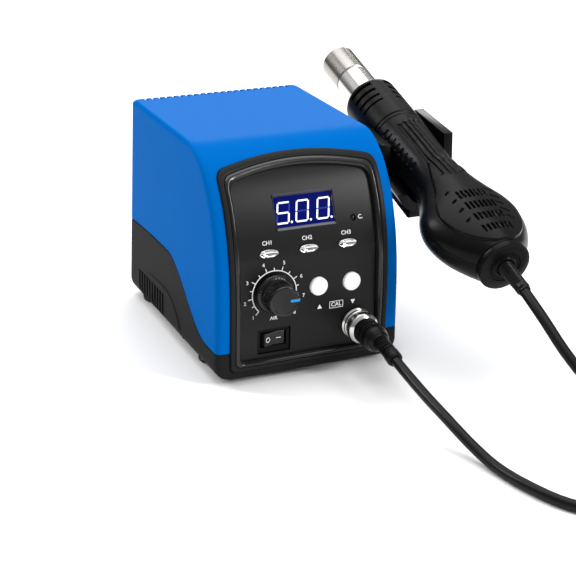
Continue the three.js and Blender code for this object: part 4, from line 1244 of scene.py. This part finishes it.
def side_ribs(s, angle):
    """Eight short grooves across each side of the upper shell."""
    tilt = abs(degrees(angle) - 90)
    side = 1 - smoothstep(abs(tilt - 58.5), 8.2, 9.2)
    nearest = min(abs(s - (47.2 + 4.86 * number)) for number in range(8))
    return side * groove(nearest, 0.7, 0.8)


def upper_relief(x, s, angle):
    """How far the upper shell's surface stands off its plain form, at a place on it."""
    lift = 0
    if 82 < s < 163:
        lift += PLATE_RISE * smoothstep(through(PLATE, s) - abs(x), 0, 1.1) * smoothstep(s, 82, 90)
    if s < 104:
        distance = min(to_stroke(x, s, *line) for line in GRIP_LINES)
        lift += groove(distance, 0.5, 0.9) + 0.35 * (1 - smoothstep(abs(distance - 1.05), 0.1, 0.5))
    if 45 < s < 84:
        lift += side_ribs(s, angle)
    if s > 117:
        slots = [groove(to_stroke(x, s, *line), 0.62, 1.5) for line in GRILLE_SLOTS]
        strokes = [groove(to_stroke(x, s, *line), 0.5, 1.3) for line in GRILLE_DASHES + GRILLE_TICKS]
        lift += min(slots + strokes)
    return lift


def shell_ring(s, half, count, relief):
    """A ring of a grip shell: along its outside from one side of the parting line to the other, and back
    along its inside. Half is 1 for the upper shell and -1 for the lower one."""
    side, height = through(GRIP, s, 1), through(GRIP, s, 2 if half > 0 else 3)
    low = asin(GAP / 2 / height)
    outside = []
    for angle in between(low, pi - low, count):
        x, z = side * cos(angle), height * sin(angle)
        normal = Vector((cos(angle) / side, sin(angle) / height)).normalized()
        lift = relief(x, s, angle) if relief else 0
        outside.append((x + lift * normal.x, -s, half * (z + lift * normal.y)))
    inner_side, inner_height = side - GRIP_WALL, height - GRIP_WALL
    inside = [
        (inner_side * cos(angle), -s, half * max(inner_height * sin(angle), GAP / 2))
        for angle in between(pi - low, low, 40)
    ]
    return outside + inside


def shell_skin(half, step, count, relief):
    rows = round((GRIP_END - GRIP_START) / step)
    rings = [shell_ring(s, half, count, relief) for s in between(GRIP_START, GRIP_END, rows)]
    points, faces = loft(rings)
    return points, faces if half > 0 else [tuple(reversed(face)) for face in faces]


def add_grip():
    upper = shell_skin(1, 0.5, 210, upper_relief)
    lower = shell_skin(-1, 2, 80, None)
    add_piece("grip_upper", upper, "black_plastic", "handle_upper_shell", **HANDPIECE)
    add_piece("grip_lower", lower, "black_plastic", "handle_lower_shell", **HANDPIECE)


def add_tail():
    start, end, radius = 164.9, 169, 15
    cap = [
        (4.6, -start), (radius - 0.3, -start), (radius, -start - 0.4), (radius, 0.9 - end),
        (radius - 0.25, 0.35 - end), (radius - 0.9, -end), (9.2, -end), (9.0, 0.4 - end), (8.4, 0.4 - end),
        (8.2, -end), (6.4, -end), (5.8, -end - 0.5), (5.0, -end - 0.5), (4.6, -end),
    ]
    relief = turned([(tail_relief_radius(-y), y) for y in between(-161.8, -190.2, 150)], 48)
    add_piece("tail_cap", turned(cap, 96, closed=True), "black_plastic", "handle_end_cap", **HANDPIECE)
    add_piece("tail_relief", relief, "soft_rubber", "handle_strain_relief", **HANDPIECE)


def tail_relief_radius(s):
    """Fine ribs on a slight taper, up to a plain collar at the end."""
    taper = 4.2 - 0.35 * smoothstep(s, 168, 188)
    if s < 169.4:
        return taper
    if s > 186:
        return 3.9 - 0.6 * smoothstep(s, 188.2, 189.4)
    return taper - 0.55 * (0.5 - 0.5 * cos(2 * pi * (s - 169.4) / 1.66)) ** 1.5


# ---- holder

def prong_cut(side, drop):
    """What is cut away over one side of the cradle: a slope along the prong's top, and all behind it."""
    top, front, back = CRADLE.top, 5 - CRADLE.start, -CRADLE.end - 5
    above = [
        (front, top - 6.5 - drop), (front, top + 6), (back, top + 6), (back, CRADLE.trough),
        (-CRADLE.prong_end - 6, CRADLE.trough), (2 - CRADLE.prong_end, top - drop),
    ]
    return prism_x(above, *sorted((side * 2, side * 30)))


def add_cradle():
    """A half ring with two prongs, and a keel under it."""
    bore, outer, top = CRADLE.bore, CRADLE.outer, CRADLE.top
    section = [
        *arc(0, 0, outer, 180, 360, 40), (outer, top), (bore, top),
        *reversed(arc(0, 0, bore, 180, 360, 40)), (-bore, top), (-outer, top),
    ]
    cradle = prism_y(section, -CRADLE.end, -CRADLE.start)
    cuts = [prong_cut(-1, LEFT_PRONG_DROP), prong_cut(1, 0)]
    add_piece("cradle", cradle, "black_plastic", "holder_cradle", place=IN_REST, cuts=cuts, bevel=2.1)
    keel = block(-KEEL.half_width, KEEL.half_width, -CRADLE.end, -KEEL.start, KEEL.bottom, KEEL.top)
    add_piece("cradle_keel", keel, "black_plastic", place=IN_REST, bevel=1.5)


def add_bracket():
    """A plate on the right wall, with an arm that reaches the cradle."""
    x0, x1 = BRACKET.x
    outline = rounded_rectangle(BRACKET.width, BRACKET.height, 4)
    plate = prism_x([(y + BRACKET.y, z + BRACKET.z) for y, z in outline], x0, x1)
    arm = [(y + BRACKET.arm_y, z + BRACKET.arm_z) for y, z in rounded_rectangle(24, 15, 3)]
    reach = prism_x(arm, x1 - 0.4, REST.x - CRADLE.outer - GAP)
    add_piece("bracket_plate", plate, "black_plastic", "holder_bracket", bevel=0.8)
    add_piece("bracket_arm", reach, "black_plastic", bevel=0.8)


# ---- CAD nodes that stay

def finish_cad_nodes():
    for entry in frame["record"]["subparts"]:
        paint(frame["nodes"][entry["node"]], entry["material_slot"])


add_camera()
add_cable([*add_connector(), frame["nodes"]["cable_tie"]])
add_floor()
add_lights()
add_cover()
add_tray()
add_feet()
add_bezel()
add_panel()
add_markings()
add_display()
add_controls()
add_switch()
add_tube()
add_sleeve()
add_grip()
add_tail()
add_cradle()
add_bracket()
finish_cad_nodes()
